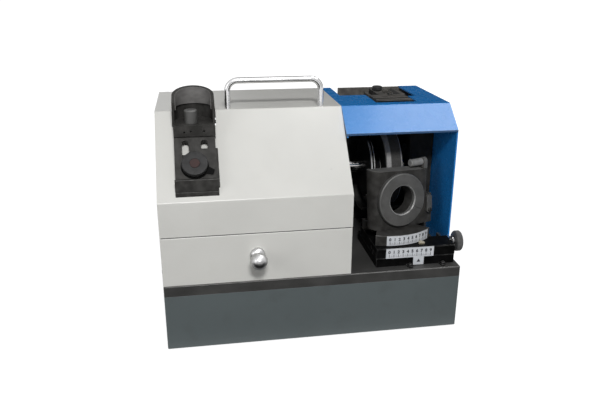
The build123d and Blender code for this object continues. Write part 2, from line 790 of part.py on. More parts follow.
def rotor_shaft():
    """Motor shaft with the rotor core, carried on through the casing wall to the wheel."""
    x0 = MOTOR_LEFT - BELL_BOSS_L - FAN_W - 4
    x1 = stack()[2] + SHAFT_TIP
    core0 = MOTOR_LEFT + (MOTOR_L - CORE_L) / 2 - x0
    core1 = core0 + CORE_L
    end = x1 - x0
    shaft = turned(
        (0, 0), (SHAFT_R - 1, 0), (SHAFT_R, 1), (SHAFT_R, core0), (ROTOR_R, core0), (ROTOR_R, core1),
        (SHAFT_R, core1), (SHAFT_R, end - 1), (SHAFT_R - 1, end), (0, end),
    )
    return along_x(x0, SPINDLE_Y, SPINDLE_Z) * shaft


def cooling_fan():
    """Bladed fan at the motor's left end."""
    hub = turned((SHAFT_R + SEAT, 0), (FAN_HUB_R, 0), (FAN_HUB_R, FAN_W), (SHAFT_R + SEAT, FAN_W))
    hub += turned((FAN_HUB_R - 1, FAN_W - 2), (FAN_R, FAN_W - 2), (FAN_R, FAN_W), (FAN_HUB_R - 1, FAN_W))
    for step in range(FAN_BLADES):
        blade = box(FAN_HUB_R - 1, FAN_R, -0.8, 0.8, 0, FAN_W - 1)
        hub += Rot(0, 0, step * 360 / FAN_BLADES) * blade
    return along_x(MOTOR_LEFT - BELL_BOSS_L - FAN_W - 1, SPINDLE_Y, SPINDLE_Z) * hub


def wheel_flange():
    """Bright backing flange and hub that the wheel is clamped against."""
    hub = WHEEL_X - FLANGE_X
    flange = turned(
        (SHAFT_R + SEAT, 0), (FLANGE_R - 1, 0), (FLANGE_R, 1), (FLANGE_R, FLANGE_T - 1),
        (FLANGE_R - 1, FLANGE_T), (HUB_R + 4, FLANGE_T), (HUB_R, FLANGE_T + 4), (HUB_R, hub),
        (SHAFT_R + SEAT, hub),
    )
    return along_x(FLANGE_X, SPINDLE_Y, SPINDLE_Z) * flange


def wheel_core():
    """Metal body of the grinding wheel, dished on its outer side."""
    r = WHEEL_R - RIM_DEEP
    core = turned(
        (SHAFT_R + SEAT, 0), (r, 0), (r, WHEEL_W), (r - 6, WHEEL_W), (r - 12, WHEEL_W - 6),
        (CLAMP_FLANGE_R + 6, WHEEL_W - 6), (CLAMP_FLANGE_R + 2, WHEEL_W), (SHAFT_R + SEAT, WHEEL_W),
    )
    return along_x(WHEEL_X, SPINDLE_Y, SPINDLE_Z) * core


def wheel_rim():
    """Abrasive rim bonded round the wheel body."""
    r0 = WHEEL_R - RIM_DEEP + SEAT
    c = WHEEL_BREAK
    rim = turned(
        (r0, 0), (WHEEL_R - c, 0), (WHEEL_R, c), (WHEEL_R, WHEEL_W - c), (WHEEL_R - c, WHEEL_W), (r0, WHEEL_W)
    )
    return along_x(WHEEL_X, SPINDLE_Y, SPINDLE_Z) * rim


def clamp_flange():
    """Outer flange that the nut presses on the wheel."""
    t = CLAMP_FLANGE_T
    flange = turned(
        (SHAFT_R + SEAT, 0), (CLAMP_FLANGE_R, 0), (CLAMP_FLANGE_R, t - 2), (CLAMP_FLANGE_R - 2, t),
        (SHAFT_R + SEAT, t),
    )
    return along_x(stack()[0], SPINDLE_Y, SPINDLE_Z) * flange


def spindle_nut():
    """Hexagon nut on the spindle's end."""
    nut = extrude(RegularPolygon(NUT_R, 6), amount=NUT_T)
    nut -= Cylinder(SHAFT_R + SEAT, 4 * NUT_T)
    return along_x(stack()[1], SPINDLE_Y, SPINDLE_Z) * nut


def wheel_guard():
    """Curved guard behind the wheel, closed on its right side, with a wing to the hood's wall and a leg."""
    r1 = GUARD_R + GUARD_SHEET
    width = WHEEL_X + WHEEL_W + GUARD_RIGHT_ROOM - GUARD_LEFT
    side = width - GUARD_SHEET
    hole = GUARD_HOLE_R
    band = turned((GUARD_R, 0), (r1, 0), (r1, width), (hole, width), (hole, side), (GUARD_R, side))
    guard = along_x(GUARD_LEFT, SPINDLE_Y, SPINDLE_Z) * band
    right = GUARD_LEFT + width
    reach = 2 * r1
    guard &= box(GUARD_LEFT, right, SPINDLE_Y - GUARD_OPEN, SPINDLE_Y + reach, TOP, SPINDLE_Z + reach)
    leg = box(GUARD_LEFT, right, SPINDLE_Y + r1 - GUARD_LEG_T, SPINDLE_Y + r1, TOP, SPINDLE_Z)
    leg -= rod(GUARD_R + GUARD_SHEET / 2, (GUARD_LEFT, SPINDLE_Y, SPINDLE_Z), (1, 0, 0), width)
    wing_x = RIGHT - HOOD_SHEET - GUARD_WING_PLAY
    wing_y = SPINDLE_Y - GUARD_OPEN
    low = TOP + GUARD_WING_LOW_H
    wing = box(right - GUARD_SHEET, wing_x, wing_y, wing_y + GUARD_SHEET, low, TOP + GUARD_WING_TOP_H)
    return guard + leg + wing


def handle_feet():
    """The two places across where the handle stands."""
    return (LEFT + HANDLE_LEFT_ROOM, CASE_RIGHT - HANDLE_RIGHT_ROOM)


def carry_handle():
    """Bent round bar with a thread stud under each leg."""
    left, right = handle_feet()
    y = FRONT + HANDLE_IN
    top = ROOF_Z + HANDLE_RISE
    corners = ((left, y, ROOF_Z), (left, y, top), (right, y, top), (right, y, ROOF_Z))
    path = FilletPolyline(*corners, radius=HANDLE_BEND_R)
    bar = sweep(Plane(origin=(left, y, ROOF_Z), z_dir=(0, 0, 1)) * Circle(HANDLE_R), path=path)
    for x in handle_feet():
        bar += rod(HANDLE_STUD_R, (x, y, ROOF_Z - HANDLE_STUD_L), (0, 0, 1), HANDLE_STUD_L)
    return bar


def handle_fixings():
    """The nuts under the roof that hold the feet of the handle."""
    nut = extrude(RegularPolygon(HANDLE_NUT_R, 6), amount=HANDLE_NUT_T)
    nut -= Cylinder(HANDLE_STUD_R + SEAT, 4 * HANDLE_NUT_T)
    y = FRONT + HANDLE_IN
    return [Pos(x, y, ROOF_Z - SHEET - HANDLE_NUT_T) * nut for x in handle_feet()]


def rail_pin():
    """Place (x, s) of the guide pin of the setting slide."""
    return STATION_X + SLOT_SHIFT - SLOT_SPREAD / 2, PIN_S


def setting_rail():
    """Fixed rail on the slope, with the nose block whose front is upright."""
    x0 = STATION_X - STATION_W / 2
    x1 = STATION_X + STATION_W / 2
    rail = slope_box(x0 + RAIL_OVERHANG, x1 + RAIL_OVERHANG, RAIL_LOW_S, RAIL_STEP_S, 0, RAIL_T)
    rail += slope_box(STATION_X, x1 + RAIL_OVERHANG, RAIL_STEP_S - 1, RAIL_HIGH_S, 0, RAIL_T)
    front = FRONT + NOSE_IN
    foot_s = NOSE_IN / cos(radians(SLOPE_DEG))
    top_s = (NOSE_IN + STACK_T * sin(radians(SLOPE_DEG))) / cos(radians(SLOPE_DEG))
    nose = outline(
        (front, slope_point(foot_s, 0)[1]), (front, slope_point(top_s, STACK_T)[1]),
        slope_point(NOSE_S, STACK_T), slope_point(NOSE_S, 0),
    )
    rail += prism_x(nose, x0 - NOSE_LEFT, x1 + NOSE_OVERHANG)
    line_z = slope_point(foot_s, 0)[1] + NOSE_LINE_UP
    rail -= box(x0 - NOSE_LEFT, x1 + NOSE_OVERHANG, front, front + NOSE_LINE_T, line_z, line_z + NOSE_LINE_W)
    x, s = rail_pin()
    rail -= SLOPE * rod(PIN_R / 2 + SEAT, (x, s, 0), (0, 0, 1), RAIL_T)
    return rail - SLOPE * rod(STUD_R + SEAT, (STUD_X, STUD_S, 0), (0, 0, 1), RAIL_T)


def rail_studs():
    """Shouldered pin that runs in the plate's long slot, and the stud that the clamp knob screws on."""
    tall = STACK_T - RAIL_T - GAP
    foot = PIN_R / 2
    pin = turned(
        (0, -RAIL_T), (foot, -RAIL_T), (foot, 0), (PIN_R, 0), (PIN_R, tall - 1), (PIN_R - 1, tall), (0, tall)
    )
    x, s = rail_pin()
    return [SLOPE * Pos(x, s, RAIL_T) * pin, SLOPE * rod(STUD_R, (STUD_X, STUD_S, 0), (0, 0, 1), STUD_L)]


def setting_plate():
    """Sliding plate with a guide slot, a short window beside it and a slot for the clamp stud."""
    x0 = STATION_X - STATION_W / 2
    x1 = STATION_X + STATION_W / 2
    low = NOSE_S + PLATE_LOW_PLAY
    plate = box(x0, x1 - PLATE_TRIM, low, PLATE_HIGH_S, RAIL_T + GAP, STACK_T)
    rear = plate.edges().filter_by(Axis.X).group_by(Axis.Y)[-1]
    plate = chamfer(rear.sort_by(Axis.Z)[-1], GROOVE_BREAK)
    for x, low_s in ((-SLOT_SPREAD / 2, SLOT_LOW_S), (SLOT_SPREAD / 2, WINDOW_LOW_S)):
        slot = extrude(Rot(0, 0, 90) * SlotOverall(SLOT_HIGH_S - low_s, SLOT_W), amount=STACK_T * 2)
        plate -= Pos(STATION_X + SLOT_SHIFT + x, (low_s + SLOT_HIGH_S) / 2, 0) * slot
    width = 2 * (STUD_R + GAP)
    stud_slot = extrude(Rot(0, 0, 90) * SlotOverall(SETTING_TRAVEL + width, width), amount=STACK_T * 2)
    plate -= Pos(STUD_X, STUD_S - SETTING_TRAVEL / 2, 0) * stud_slot
    return SLOPE * plate


def cradle_wall(inner_r, z0, z1):
    """U-shaped wall: a half tube with straight flanks towards the front."""
    flank = CRADLE_AXIS_IN - CRADLE_FRONT_IN
    outer = Circle(CRADLE_R) + Pos(0, -flank / 2) * Rectangle(2 * CRADLE_R, flank)
    outer -= Pos(0, -flank - CRADLE_R) * Rectangle(4 * CRADLE_R, 2 * CRADLE_R)
    inner = Circle(inner_r) + Pos(0, -flank) * Rectangle(2 * inner_r, 2 * flank)
    return Pos(STATION_X, CRADLE_Y, z0) * extrude(outer - inner, amount=z1 - z0)


def setting_cradle():
    """Ledge block at the plate's upper end with the U-shaped trough that takes a chuck."""
    floor = TOP + CRADLE_FLOOR_H
    under = floor - CRADLE_FLOOR_T
    angle = radians(SLOPE_DEG)
    foot_n = RAIL_T + GAP
    foot_s = (under - BEND_Z - foot_n * cos(angle)) / sin(angle)
    front_y, front_z = slope_point(PLATE_HIGH_S, STACK_T)
    rear = CRADLE_Y + CRADLE_R
    side = outline(
        (front_y, front_z), (front_y, floor), (rear, floor), (rear, under),
        slope_point(foot_s, foot_n), slope_point(PLATE_HIGH_S, foot_n),
    )
    body = prism_x(side, STATION_X - STATION_W / 2, STATION_X + STATION_W / 2)
    corner = box(STATION_X - CRADLE_R, STATION_X + CRADLE_R, CRADLE_Y, rear, under, floor)
    round_end = rod(CRADLE_R, (STATION_X, CRADLE_Y, under), (0, 0, 1), CRADLE_FLOOR_T)
    body -= corner - round_end
    inner = CRADLE_R - CRADLE_WALL
    body += cradle_wall(inner + CRADLE_UNDERCUT, floor, TOP + CRADLE_LIP_H)
    top = TOP + CRADLE_TOP_H
    body += cradle_wall(inner, TOP + CRADLE_LIP_H, top)
    fall = (rear - front_y) * tan(radians(CRADLE_RIM_TILT))
    above = outline((front_y, top - fall), (front_y, top + 1), (rear, top + 1), (rear, top))
    body -= prism_x(above, STATION_X - 2 * CRADLE_R, STATION_X + 2 * CRADLE_R)
    seam = STATION_X + LEDGE_SEAM_X
    body -= box(seam, seam + LEDGE_SEAM_W, front_y, front_y + LEDGE_SEAM_T, front_z, floor)
    for x, up in LEDGE_HOLES:
        body -= rod(LEDGE_HOLE_R, (STATION_X + x, front_y, front_z + up), (0, 1, 0), LEDGE_HOLE_T)
    return body


def setting_post():
    """Upright post on the trough's floor that a chuck is set on."""
    b = POST_BREAK
    post = turned((0, 0), (POST_R, 0), (POST_R, POST_TALL - b), (POST_R - b, POST_TALL), (0, POST_TALL))
    return Pos(STATION_X + POST_SHIFT, FRONT + POST_IN, TOP + CRADLE_FLOOR_H) * post


def clamp_knob():
    """Round clamp knob with a boss below and a rounded upper edge."""
    z0 = CLAMP_BOSS_T
    z1 = CLAMP_BOSS_T + CLAMP_KNOB_T
    knob = turned(
        (0, 0), (CLAMP_BOSS_R, 0), (CLAMP_BOSS_R, z0), (CLAMP_KNOB_R - 2, z0), (CLAMP_KNOB_R, z0 + 3),
        (CLAMP_KNOB_R, z1 - 3.5), (CLAMP_KNOB_R - 1.2, z1 - 1), (CLAMP_KNOB_R - 4, z1), (0, z1),
    )
    knob -= Pos(0, 0, z1) * Cylinder(CLAMP_CAP_R + SEAT, 2 * CLAMP_CAP_T)
    stud_top = STUD_L - STACK_T - GAP
    knob -= Pos(0, 0, (stud_top + GAP) / 2) * Cylinder(STUD_R + FIT, stud_top + GAP)
    return SLOPE * Pos(STUD_X, STUD_S, STACK_T + GAP) * knob


def clamp_knob_cap():
    """Coloured cap let into the knob's top."""
    cap = Pos(0, 0, -CLAMP_CAP_T / 2) * Cylinder(CLAMP_CAP_R, CLAMP_CAP_T)
    return SLOPE * Pos(STUD_X, STUD_S, STACK_T + GAP + CLAMP_BOSS_T + CLAMP_KNOB_T) * cap


def hood_face():
    """Side outline of the hood."""
    face = outline(
        (HOOD_Y, TOP), (HOOD_Y, TOP + EAVE_H), (FOLD_Y, ROOF_Z), (REAR, ROOF_Z), (REAR, TOP)
    )
    folds = [v for v in face.vertices() if v.Y > ROOF_Z - 1 and v.X < REAR - 1]
    return fillet(folds, FOLD_R)


def hood_shell():
    """Blue hood of one folded sheet: right wall, sloping front, roof, and a flange on the casing's side."""
    body = prism_x(hood_face(), HOOD_LEFT, RIGHT)
    t = HOOD_SHEET
    angle = atan2(ROOF_H - EAVE_H, FOLD_IN - HOOD_IN)
    for depth, x0, x1 in ((t, HOOD_LEFT + t, RIGHT - t), (HOOD_FLANGE, HOOD_LEFT, HOOD_LEFT + t)):
        drop = depth / cos(angle)
        fold_y = FOLD_Y + depth * tan(angle / 2)
        room = outline(
            (HOOD_Y, TOP), (HOOD_Y, TOP + EAVE_H - drop), (fold_y, ROOF_Z - depth),
            (REAR, ROOF_Z - depth), (REAR, TOP),
        )
        body -= prism_x(room, x0, x1)
    cut_right = RIGHT - CUT_RIGHT
    body -= box(HOOD_LEFT + CUT_LEFT, cut_right, FRONT + CUT_IN, REAR, ROOF_Z - t, ROOF_Z)
    body -= box(cut_right - NOTCH_W, cut_right, FRONT + NOTCH_IN, REAR, ROOF_Z - t, ROOF_Z)
    side = TONGUE_PLATE_W / 2 + TONGUE_CUT_PLAY
    mid = PORT_X + TONGUE_SHIFT
    body -= box(mid - side, mid + side, FRONT + TONGUE_IN - PORT_TRAVEL - 1, REAR, ROOF_Z - t, ROOF_Z)
    for y in cover_screw_rows(HOOD_Y + COVER_EDGE):
        body -= rod(COVER_SCREW_R + FIT, (RIGHT - t, y, TOP + COVER_SCREW_H), (1, 0, 0), t)
    return body


def hood_back():
    """Dark rear plate behind the wheel, level with the roof where the roof is cut out."""
    y1 = BACK_Y + BACK_T
    plate = box(BACK_LEFT, RIGHT - HOOD_SHEET - PANEL_PLAY, BACK_Y, y1, TOP, ROOF_Z - HOOD_SHEET - PANEL_PLAY)
    return plate + box(BACK_LEFT, RIGHT - CUT_RIGHT - PANEL_PLAY, BACK_Y, y1, TOP, ROOF_Z)


def cover_screw_rows(front):
    """Places along the side walls where the covers are screwed down."""
    return [front + COVER_TAB_W, (front + REAR) / 2, REAR - COVER_TAB_W - COVER_EDGE]


def cover_tabs():
    """Blocks on the machine plate behind the side walls that take the cover screws."""
    tabs = []
    half = COVER_TAB_W / 2
    sides = ((LEFT + SHEET, 1, MOUTH_Y), (RIGHT - HOOD_SHEET, -1, HOOD_Y + COVER_EDGE))
    for x, side, front in sides:
        for y in cover_screw_rows(front):
            tab = box(*sorted((x, x + side * COVER_TAB_T)), y - half, y + half, TOP, TOP + COVER_TAB_TALL)
            hole = rod(COVER_SCREW_R + FIT, (x, y, TOP + COVER_SCREW_H), (side, 0, 0), COVER_TAB_T)
            tabs.append(tab - hole)
    return tabs


def cover_screws():
    """Pan-head screws through the casing's left wall and the hood's right wall."""
    t = COVER_SCREW_HEAD_T
    length = COVER_SCREW_L - COVER_TAB_T + SHEET
    screw = turned(
        (0, -length), (COVER_SCREW_R, -length), (COVER_SCREW_R, 0), (COVER_SCREW_HEAD_R, 0),
        (COVER_SCREW_HEAD_R, t * 0.4), (COVER_SCREW_HEAD_R * 0.6, t), (0, t),
    )
    z = TOP + COVER_SCREW_H
    left = [Pos(LEFT, y, z) * Rot(0, -90, 0) * screw for y in cover_screw_rows(MOUTH_Y)]
    right = [along_x(RIGHT, y, z) * screw for y in cover_screw_rows(HOOD_Y + COVER_EDGE)]
    return left + right


def dovetail(grow, shift=0.0):
    """Outline of the dovetail in (y, z), grown on its flanks and top."""
    y = FRONT + DOVE_IN
    z0 = TOP + SLIDE_BASE_T
    z1 = z0 + DOVE_TALL
    spread = DOVE_TALL / tan(radians(DOVE_ANGLE))
    half = DOVE_NECK / 2 + grow
    wide = half + spread + grow / tan(radians(DOVE_ANGLE))
    top = z1 + grow
    return outline((y - half, z0), (y - wide, top), (y + wide + shift, top), (y + half + shift, z0))


def lug_y():
    """Where the base's screws stand, in front of the slide base."""
    return SLIDE_Y + SLIDE_BASE_SETBACK - BASE_LUG_REACH


def slide_base():
    """Fixed base of the cross slide: dovetail, rear pad under the pivot and two screw lugs."""
    y0 = SLIDE_Y + SLIDE_BASE_SETBACK
    z1 = TOP + SLIDE_BASE_T
    body = box(SLIDE_X, SLIDE_RIGHT, y0, SLIDE_REAR, TOP, z1)
    body += box(SLIDE_X, SLIDE_X + TONGUE_W + SLIDE_PLUS, SLIDE_REAR, PIVOT_Y + TONGUE_PAST_PIVOT, TOP, z1)
    body += prism_x(dovetail(0), SLIDE_X, SLIDE_RIGHT)
    for x in BASE_SCREW_X:
        lug = rod(BASE_LUG_R, (x, lug_y(), TOP), (0, 0, 1), BASE_LUG_T)
        lug += box(x - BASE_LUG_R, x + BASE_LUG_R, lug_y(), y0, TOP, TOP + BASE_LUG_T)
        body += lug
    for x in BASE_SCREW_X:
        body -= rod(BASE_SCREW_R + FIT, (x, lug_y(), TOP), (0, 0, 1), BASE_LUG_T)
    return body


def slide_base_screws():
    """Cap screws in the lugs of the slide base."""
    head_z = BASE_LUG_T + BASE_SCREW_HEAD_T
    end = 1 - PLATE_T
    screw = turned(
        (0, end), (BASE_SCREW_R, end), (BASE_SCREW_R, BASE_LUG_T), (BASE_SCREW_HEAD_R, BASE_LUG_T),
        (BASE_SCREW_HEAD_R, head_z - 0.6), (BASE_SCREW_HEAD_R - 0.6, head_z), (0, head_z),
    )
    screw -= Pos(0, 0, head_z) * extrude(RegularPolygon(BASE_SCREW_R, 6), amount=-BASE_SCREW_R)
    return [Pos(x, lug_y(), TOP) * screw for x in BASE_SCREW_X]


def mark_plate():
    """Small plate on the slide base that carries the fixed mark."""
    half = MARK_PLATE_W / 2
    y1 = SLIDE_Y + SLIDE_BASE_SETBACK
    z1 = TOP + SLIDE_BASE_T
    return box(MARK_PLATE_X - half, MARK_PLATE_X + half, y1 - MARK_PLATE_T, y1, z1 - MARK_PLATE_TALL, z1)


def feed_nut():
    """Nut block on the slide base, round the feed screw."""
    x0 = NUT_X - NUT_L / 2
    z1 = SCREW_Z + SCREW_R + 1.5
    body = box(x0, x0 + NUT_L, SCREW_Y - NUT_W / 2, SCREW_Y + NUT_W / 2, TOP + SLIDE_BASE_T, z1)
    return body - rod(SCREW_R + FIT, (x0, SCREW_Y, SCREW_Z), (1, 0, 0), NUT_L)


def cross_slide():
    """Slide with its dovetail groove, the tunnel for the screw and the tongue that carries the pivot."""
    body = box(SLIDE_X, SLIDE_RIGHT, SLIDE_Y, SLIDE_REAR, SLIDE_Z, SLIDE_TOP)
    body = chamfer(body.edges().filter_by(Axis.X).sort_by(Axis.Y)[0:2], SLIDE_EDGE_R)
    tongue_right = SLIDE_X + TONGUE_W
    rear = PIVOT_Y + TONGUE_PAST_PIVOT
    tongue = box(SLIDE_X, tongue_right, SLIDE_REAR - 1, rear, SLIDE_Z, SLIDE_TOP)
    corners = [e for e in tongue.edges().filter_by(Axis.Z) if e.center().Y > rear - 1]
    body += fillet(corners, PIVOT_BOSS_R)
    body -= prism_x(dovetail(GAP, GIB_T), SLIDE_X, SLIDE_RIGHT)
    body -= rod(SCREW_R + GAP, (SLIDE_X, SCREW_Y, SCREW_Z), (1, 0, 0), SLIDE_L)
    x0 = NUT_X - NUT_L / 2 - SLIDE_PLUS - 1
    x1 = NUT_X + NUT_L / 2 + SLIDE_MINUS + 1
    half = NUT_W / 2 + GAP
    body -= box(x0, x1, SCREW_Y - half, SCREW_Y + half, SLIDE_Z, SCREW_Z + SCREW_R + 1.5 + GAP)
    angle = radians(LOCK_ANGLE)
    x = PIVOT_X + LOCK_RADIUS * sin(angle)
    y = PIVOT_Y - LOCK_RADIUS * cos(angle)
    body -= rod(LOCK_R + SEAT, (x, y, SLIDE_TOP - SCREW_R), (0, 0, 1), SCREW_R)
    return body - rod(PIVOT_R + SEAT, (PIVOT_X, PIVOT_Y, SLIDE_Z), (0, 0, 1), SLIDE_T)


def gib_strip():
    """Tapered strip between the dovetail's rear flank and the slide."""
    y = FRONT + DOVE_IN
    z0 = SLIDE_Z
    z1 = TOP + SLIDE_BASE_T + DOVE_TALL
    lean = 1 / tan(radians(DOVE_ANGLE))
    inner = y + DOVE_NECK / 2 + 2 * GAP
    outer = inner + GIB_T - 2 * GAP
    rise = z1 - TOP - SLIDE_BASE_T
    strip = outline((inner, z0), (inner + rise * lean, z1), (outer + rise * lean, z1), (outer, z0))
    return prism_x(strip, SLIDE_X + 2, SLIDE_RIGHT - 2)


def screw_bracket():
    """End bracket of the cross slide that holds the feed screw."""
    half = BRACKET_DEEP / 2
    body = box(SLIDE_RIGHT, SLIDE_RIGHT + BRACKET_T, SCREW_Y - half, SCREW_Y + half, SLIDE_Z, SLIDE_TOP)
    return body - rod(SCREW_R + FIT, (SLIDE_RIGHT, SCREW_Y, SCREW_Z), (1, 0, 0), BRACKET_T)


def feed_screw():
    """Feed screw: a plain run through the bracket and a shoulder inside the slide."""
    x0 = SLIDE_RIGHT - SCREW_TAIL
    length = SCREW_TAIL + BRACKET_T + GAP + DIAL_T + FEED_KNOB_T
    b = 0.8
    screw = turned(
        (0, 0), (SCREW_R - b, 0), (SCREW_R, b), (SCREW_R, length - b), (SCREW_R - b, length), (0, length)
    )
    return along_x(x0, SCREW_Y, SCREW_Z) * screw


def feed_dial():
    """Plain graduated collar between the bracket and the knob."""
    b = 0.6
    dial = turned(
        (SCREW_R + SEAT, 0), (DIAL_R - b, 0), (DIAL_R, b), (DIAL_R, DIAL_T), (SCREW_R + SEAT, DIAL_T)
    )
    return along_x(SLIDE_RIGHT + BRACKET_T + GAP, SCREW_Y, SCREW_Z) * dial


def feed_knob():
    """Feed knob with broken edges and a recess in its end."""
    b = 1.2
    t = FEED_KNOB_T
    knob = turned(
        (SCREW_R + SEAT, 0), (FEED_KNOB_R - b, 0), (FEED_KNOB_R, b), (FEED_KNOB_R, t - b),
        (FEED_KNOB_R - b, t), (FEED_KNOB_R - 4, t), (FEED_KNOB_R - 4.5, t - 1), (SCREW_R + SEAT, t - 1),
    )
    return along_x(SLIDE_RIGHT + BRACKET_T + GAP + DIAL_T, SCREW_Y, SCREW_Z) * knob


def scale_pointer():
    """Small pointer on the cross slide, for the curved scale of the swivel."""
    sweep_y = PIVOT_Y - (SWIVEL_R ** 2 - (POINTER_X - PIVOT_X) ** 2) ** 0.5
    half = POINTER_W / 2
    y0 = sweep_y - POINTER_L - POINTER_GAP
    y1 = sweep_y - POINTER_GAP
    waist = (y0 + y1) / 2
    face = Polygon((-half, y0), (half, y0), (half, waist), (0, y1), (-half, waist), align=None)
    return Pos(POINTER_X, 0, SLIDE_TOP) * extrude(face, amount=POINTER_T)


def swivel_studs():
    """Shouldered stud that the swivel turns on, and the screw through its arc slot that locks it."""
    top = SWIVEL_TOP_H - (SLIDE_Z - TOP) + GAP
    head = top + PIVOT_HEAD_T
    stud = turned(
        (0, 0), (PIVOT_R, 0), (PIVOT_R, top), (PIVOT_HEAD_R, top), (PIVOT_HEAD_R, head - 1),
        (PIVOT_HEAD_R - 1, head), (0, head),
    )
    angle = radians(LOCK_ANGLE)
    top = SWIVEL_T + 2 * GAP
    head = top + LOCK_HEAD_T
    screw = turned(
        (0, -SCREW_R), (LOCK_R, -SCREW_R), (LOCK_R, top), (LOCK_HEAD_R, top), (LOCK_HEAD_R, head - 0.6),
        (LOCK_HEAD_R - 0.6, head), (0, head),
    )
    screw -= Pos(0, 0, head) * extrude(RegularPolygon(LOCK_R, 6), amount=-2.5)
    x = PIVOT_X + LOCK_RADIUS * sin(angle)
    y = PIVOT_Y - LOCK_RADIUS * cos(angle)
    return [Pos(PIVOT_X, PIVOT_Y, SLIDE_Z) * stud, Pos(x, y, SLIDE_TOP) * screw]


def swivel_plate():
    """Fan-shaped plate with an arc front, a boss round the pivot and an arc slot for the lock screw."""
    far = 2 * SWIVEL_R
    left = radians(SWIVEL_LEFT)
    right = radians(SWIVEL_RIGHT)
    fan = Polygon(
        (0, 0), (-far * sin(left), -far * cos(left)), (far * sin(right), -far * cos(right)), align=None
    )
    face = fan & Circle(SWIVEL_R)
    face += Circle(SWIVEL_HUB_R) & Pos(0, -SWIVEL_R / 2) * Rectangle(far, SWIVEL_R)
    face += Circle(PIVOT_BOSS_R)
    face -= Circle(PIVOT_R + FIT)
    arc = CenterArc((0, 0), LOCK_RADIUS, 270 - LOCK_SPAN / 2, LOCK_SPAN)
    face -= SlotArc(arc, 2 * (LOCK_R + GAP))
    return SWIVEL * Pos(0, 0, SWIVEL_H) * extrude(face, amount=SWIVEL_T)


def chuck_block():
    """Upright block with the chuck bore, a lug for the pawl and an arm for the stop screw."""
    deep = RING_T + BLOCK_T
    tall = BLOCK_TOP_H - CHUCK_H
    low = CHUCK_H - SWIVEL_TOP_H
    body = box(-BLOCK_LEFT, BLOCK_RIGHT, -2 * low, 2 * tall, -deep, -RING_T)
    left = body.edges().filter_by(Axis.Y).sort_by(Axis.X)[:2]
    body = fillet(left.sort_by(Axis.Z)[-1], BLOCK_ROUND_R)
    far = 2 * SEAT_REACH
    fall = far * tan(radians(BLOCK_TOP_SLANT))
    top = BLOCK_TOP_H
    slab = outline((-far, SWIVEL_TOP_H), (far, SWIVEL_TOP_H), (far, top - fall), (-far, top + fall))
    body = (CHUCK * body) & (SWIVEL * extrude(Plane.XZ * slab, amount=far))
    upper = body.edges().filter_by_position(Axis.Z, TOP + top - BLOCK_CORNER_R, TOP + top + BLOCK_CORNER_R)
    crown = [e for e in upper.sort_by(Axis.X)[-4:] if e.length < BLOCK_T * 1.2 and e.length > BLOCK_T * 0.8]
    body = fillet(crown, BLOCK_CORNER_R)
    lug = CHUCK * box(BLOCK_RIGHT - 1, BLOCK_RIGHT + LUG_W, -far, LUG_HIGH, -RING_T - LUG_T, -RING_T)
    body += lug & (SWIVEL * box(-far, far, -far, far, SWIVEL_TOP_H, BLOCK_TOP_H))
    x, y, z = stop_place()
    arm = box(x - 1, x + ARM_W, y - ARM_R, y + ARM_R, BLOCK_TOP_H - ARM_DOWN, z)
    arm += rod(ARM_R, (x - 1, y, z), (1, 0, 0), ARM_W + 1)
    body += SWIVEL * arm
    body -= SWIVEL * rod(STOP_R + FIT, (x - 1, y, z), (1, 0, 0), ARM_W + 1)
    body -= CHUCK * rod(BORE_R, (0, 0, -2 * deep), (0, 0, 1), 3 * deep)
    pin_foot = (PAWL_X, PAWL_PIVOT_UP, -RING_T - LUG_T)
    return body - CHUCK * rod(PAWL_PIN_R + SEAT, pin_foot, (0, 0, 1), 2 * LUG_T)


def stop_place():
    """(x, y, z) in the swivel's frame where the stop screw's axis meets the block's right side."""
    mid = -SEAT_REACH + RING_T + BLOCK_T / 2 + (BLOCK_TOP_H - CHUCK_H) * tan(radians(TILT))
    return (BLOCK_RIGHT, mid, BLOCK_TOP_H + STOP_UP)


def chuck_ring():
    """Hardened seat ring with a chamfered bore and a stepped cam face at its lower right."""
    b = RING_BREAK
    ring = turned(
        (BORE_R, -RING_T), (RING_R, -RING_T), (RING_R, -b), (RING_R - b, 0), (BORE_R + b, 0), (BORE_R, -b)
    )
    step = box(0, 2 * RING_R, -2 * RING_R, 0, -CAM_STEP, CAM_STEP)
    step = Rot(0, 0, -28) * step & Rot(0, 0, 18) * step
    ring -= step - Cylinder(BORE_R + 5, 4 * RING_T)
    return CHUCK * ring


def stop_screw():
    """Screw through the arm, with its long round head lying over the block."""
    b = 0.8
    neck = -1 - GAP
    low = neck - STOP_HEAD_L
    tip = ARM_W + STOP_TIP
    screw = turned(
        (0, low), (STOP_HEAD_R - b, low), (STOP_HEAD_R, low + b), (STOP_HEAD_R, neck - b),
        (STOP_HEAD_R - b, neck), (STOP_R, neck), (STOP_R, tip), (0, tip),
    )
    return SWIVEL * along_x(*stop_place()) * screw


def index_pawl():
    """Rounded pawl that swings beside the ring."""
    face = Rot(0, 0, 90) * SlotOverall(PAWL_L, PAWL_W)
    up = PAWL_PIVOT_UP + PAWL_L / 2 - PAWL_W / 2
    pawl = Pos(PAWL_X, up, -RING_T + GAP) * extrude(face, amount=PAWL_T)
    pawl -= rod(PAWL_PIN_R + FIT, (PAWL_X, PAWL_PIVOT_UP, -RING_T), (0, 0, 1), 2 * RING_T)
    return CHUCK * pawl


def pawl_pin():
    """Headed pin that the pawl turns on."""
    top = PAWL_T + 2 * GAP
    head = top + PAWL_PIN_HEAD_T
    pin = turned(
        (0, -LUG_T), (PAWL_PIN_R, -LUG_T), (PAWL_PIN_R, top), (PAWL_PIN_HEAD_R, top),
        (PAWL_PIN_HEAD_R - 0.4, head), (0, head),
    )
    return CHUCK * Pos(PAWL_X, PAWL_PIVOT_UP, -RING_T) * pin


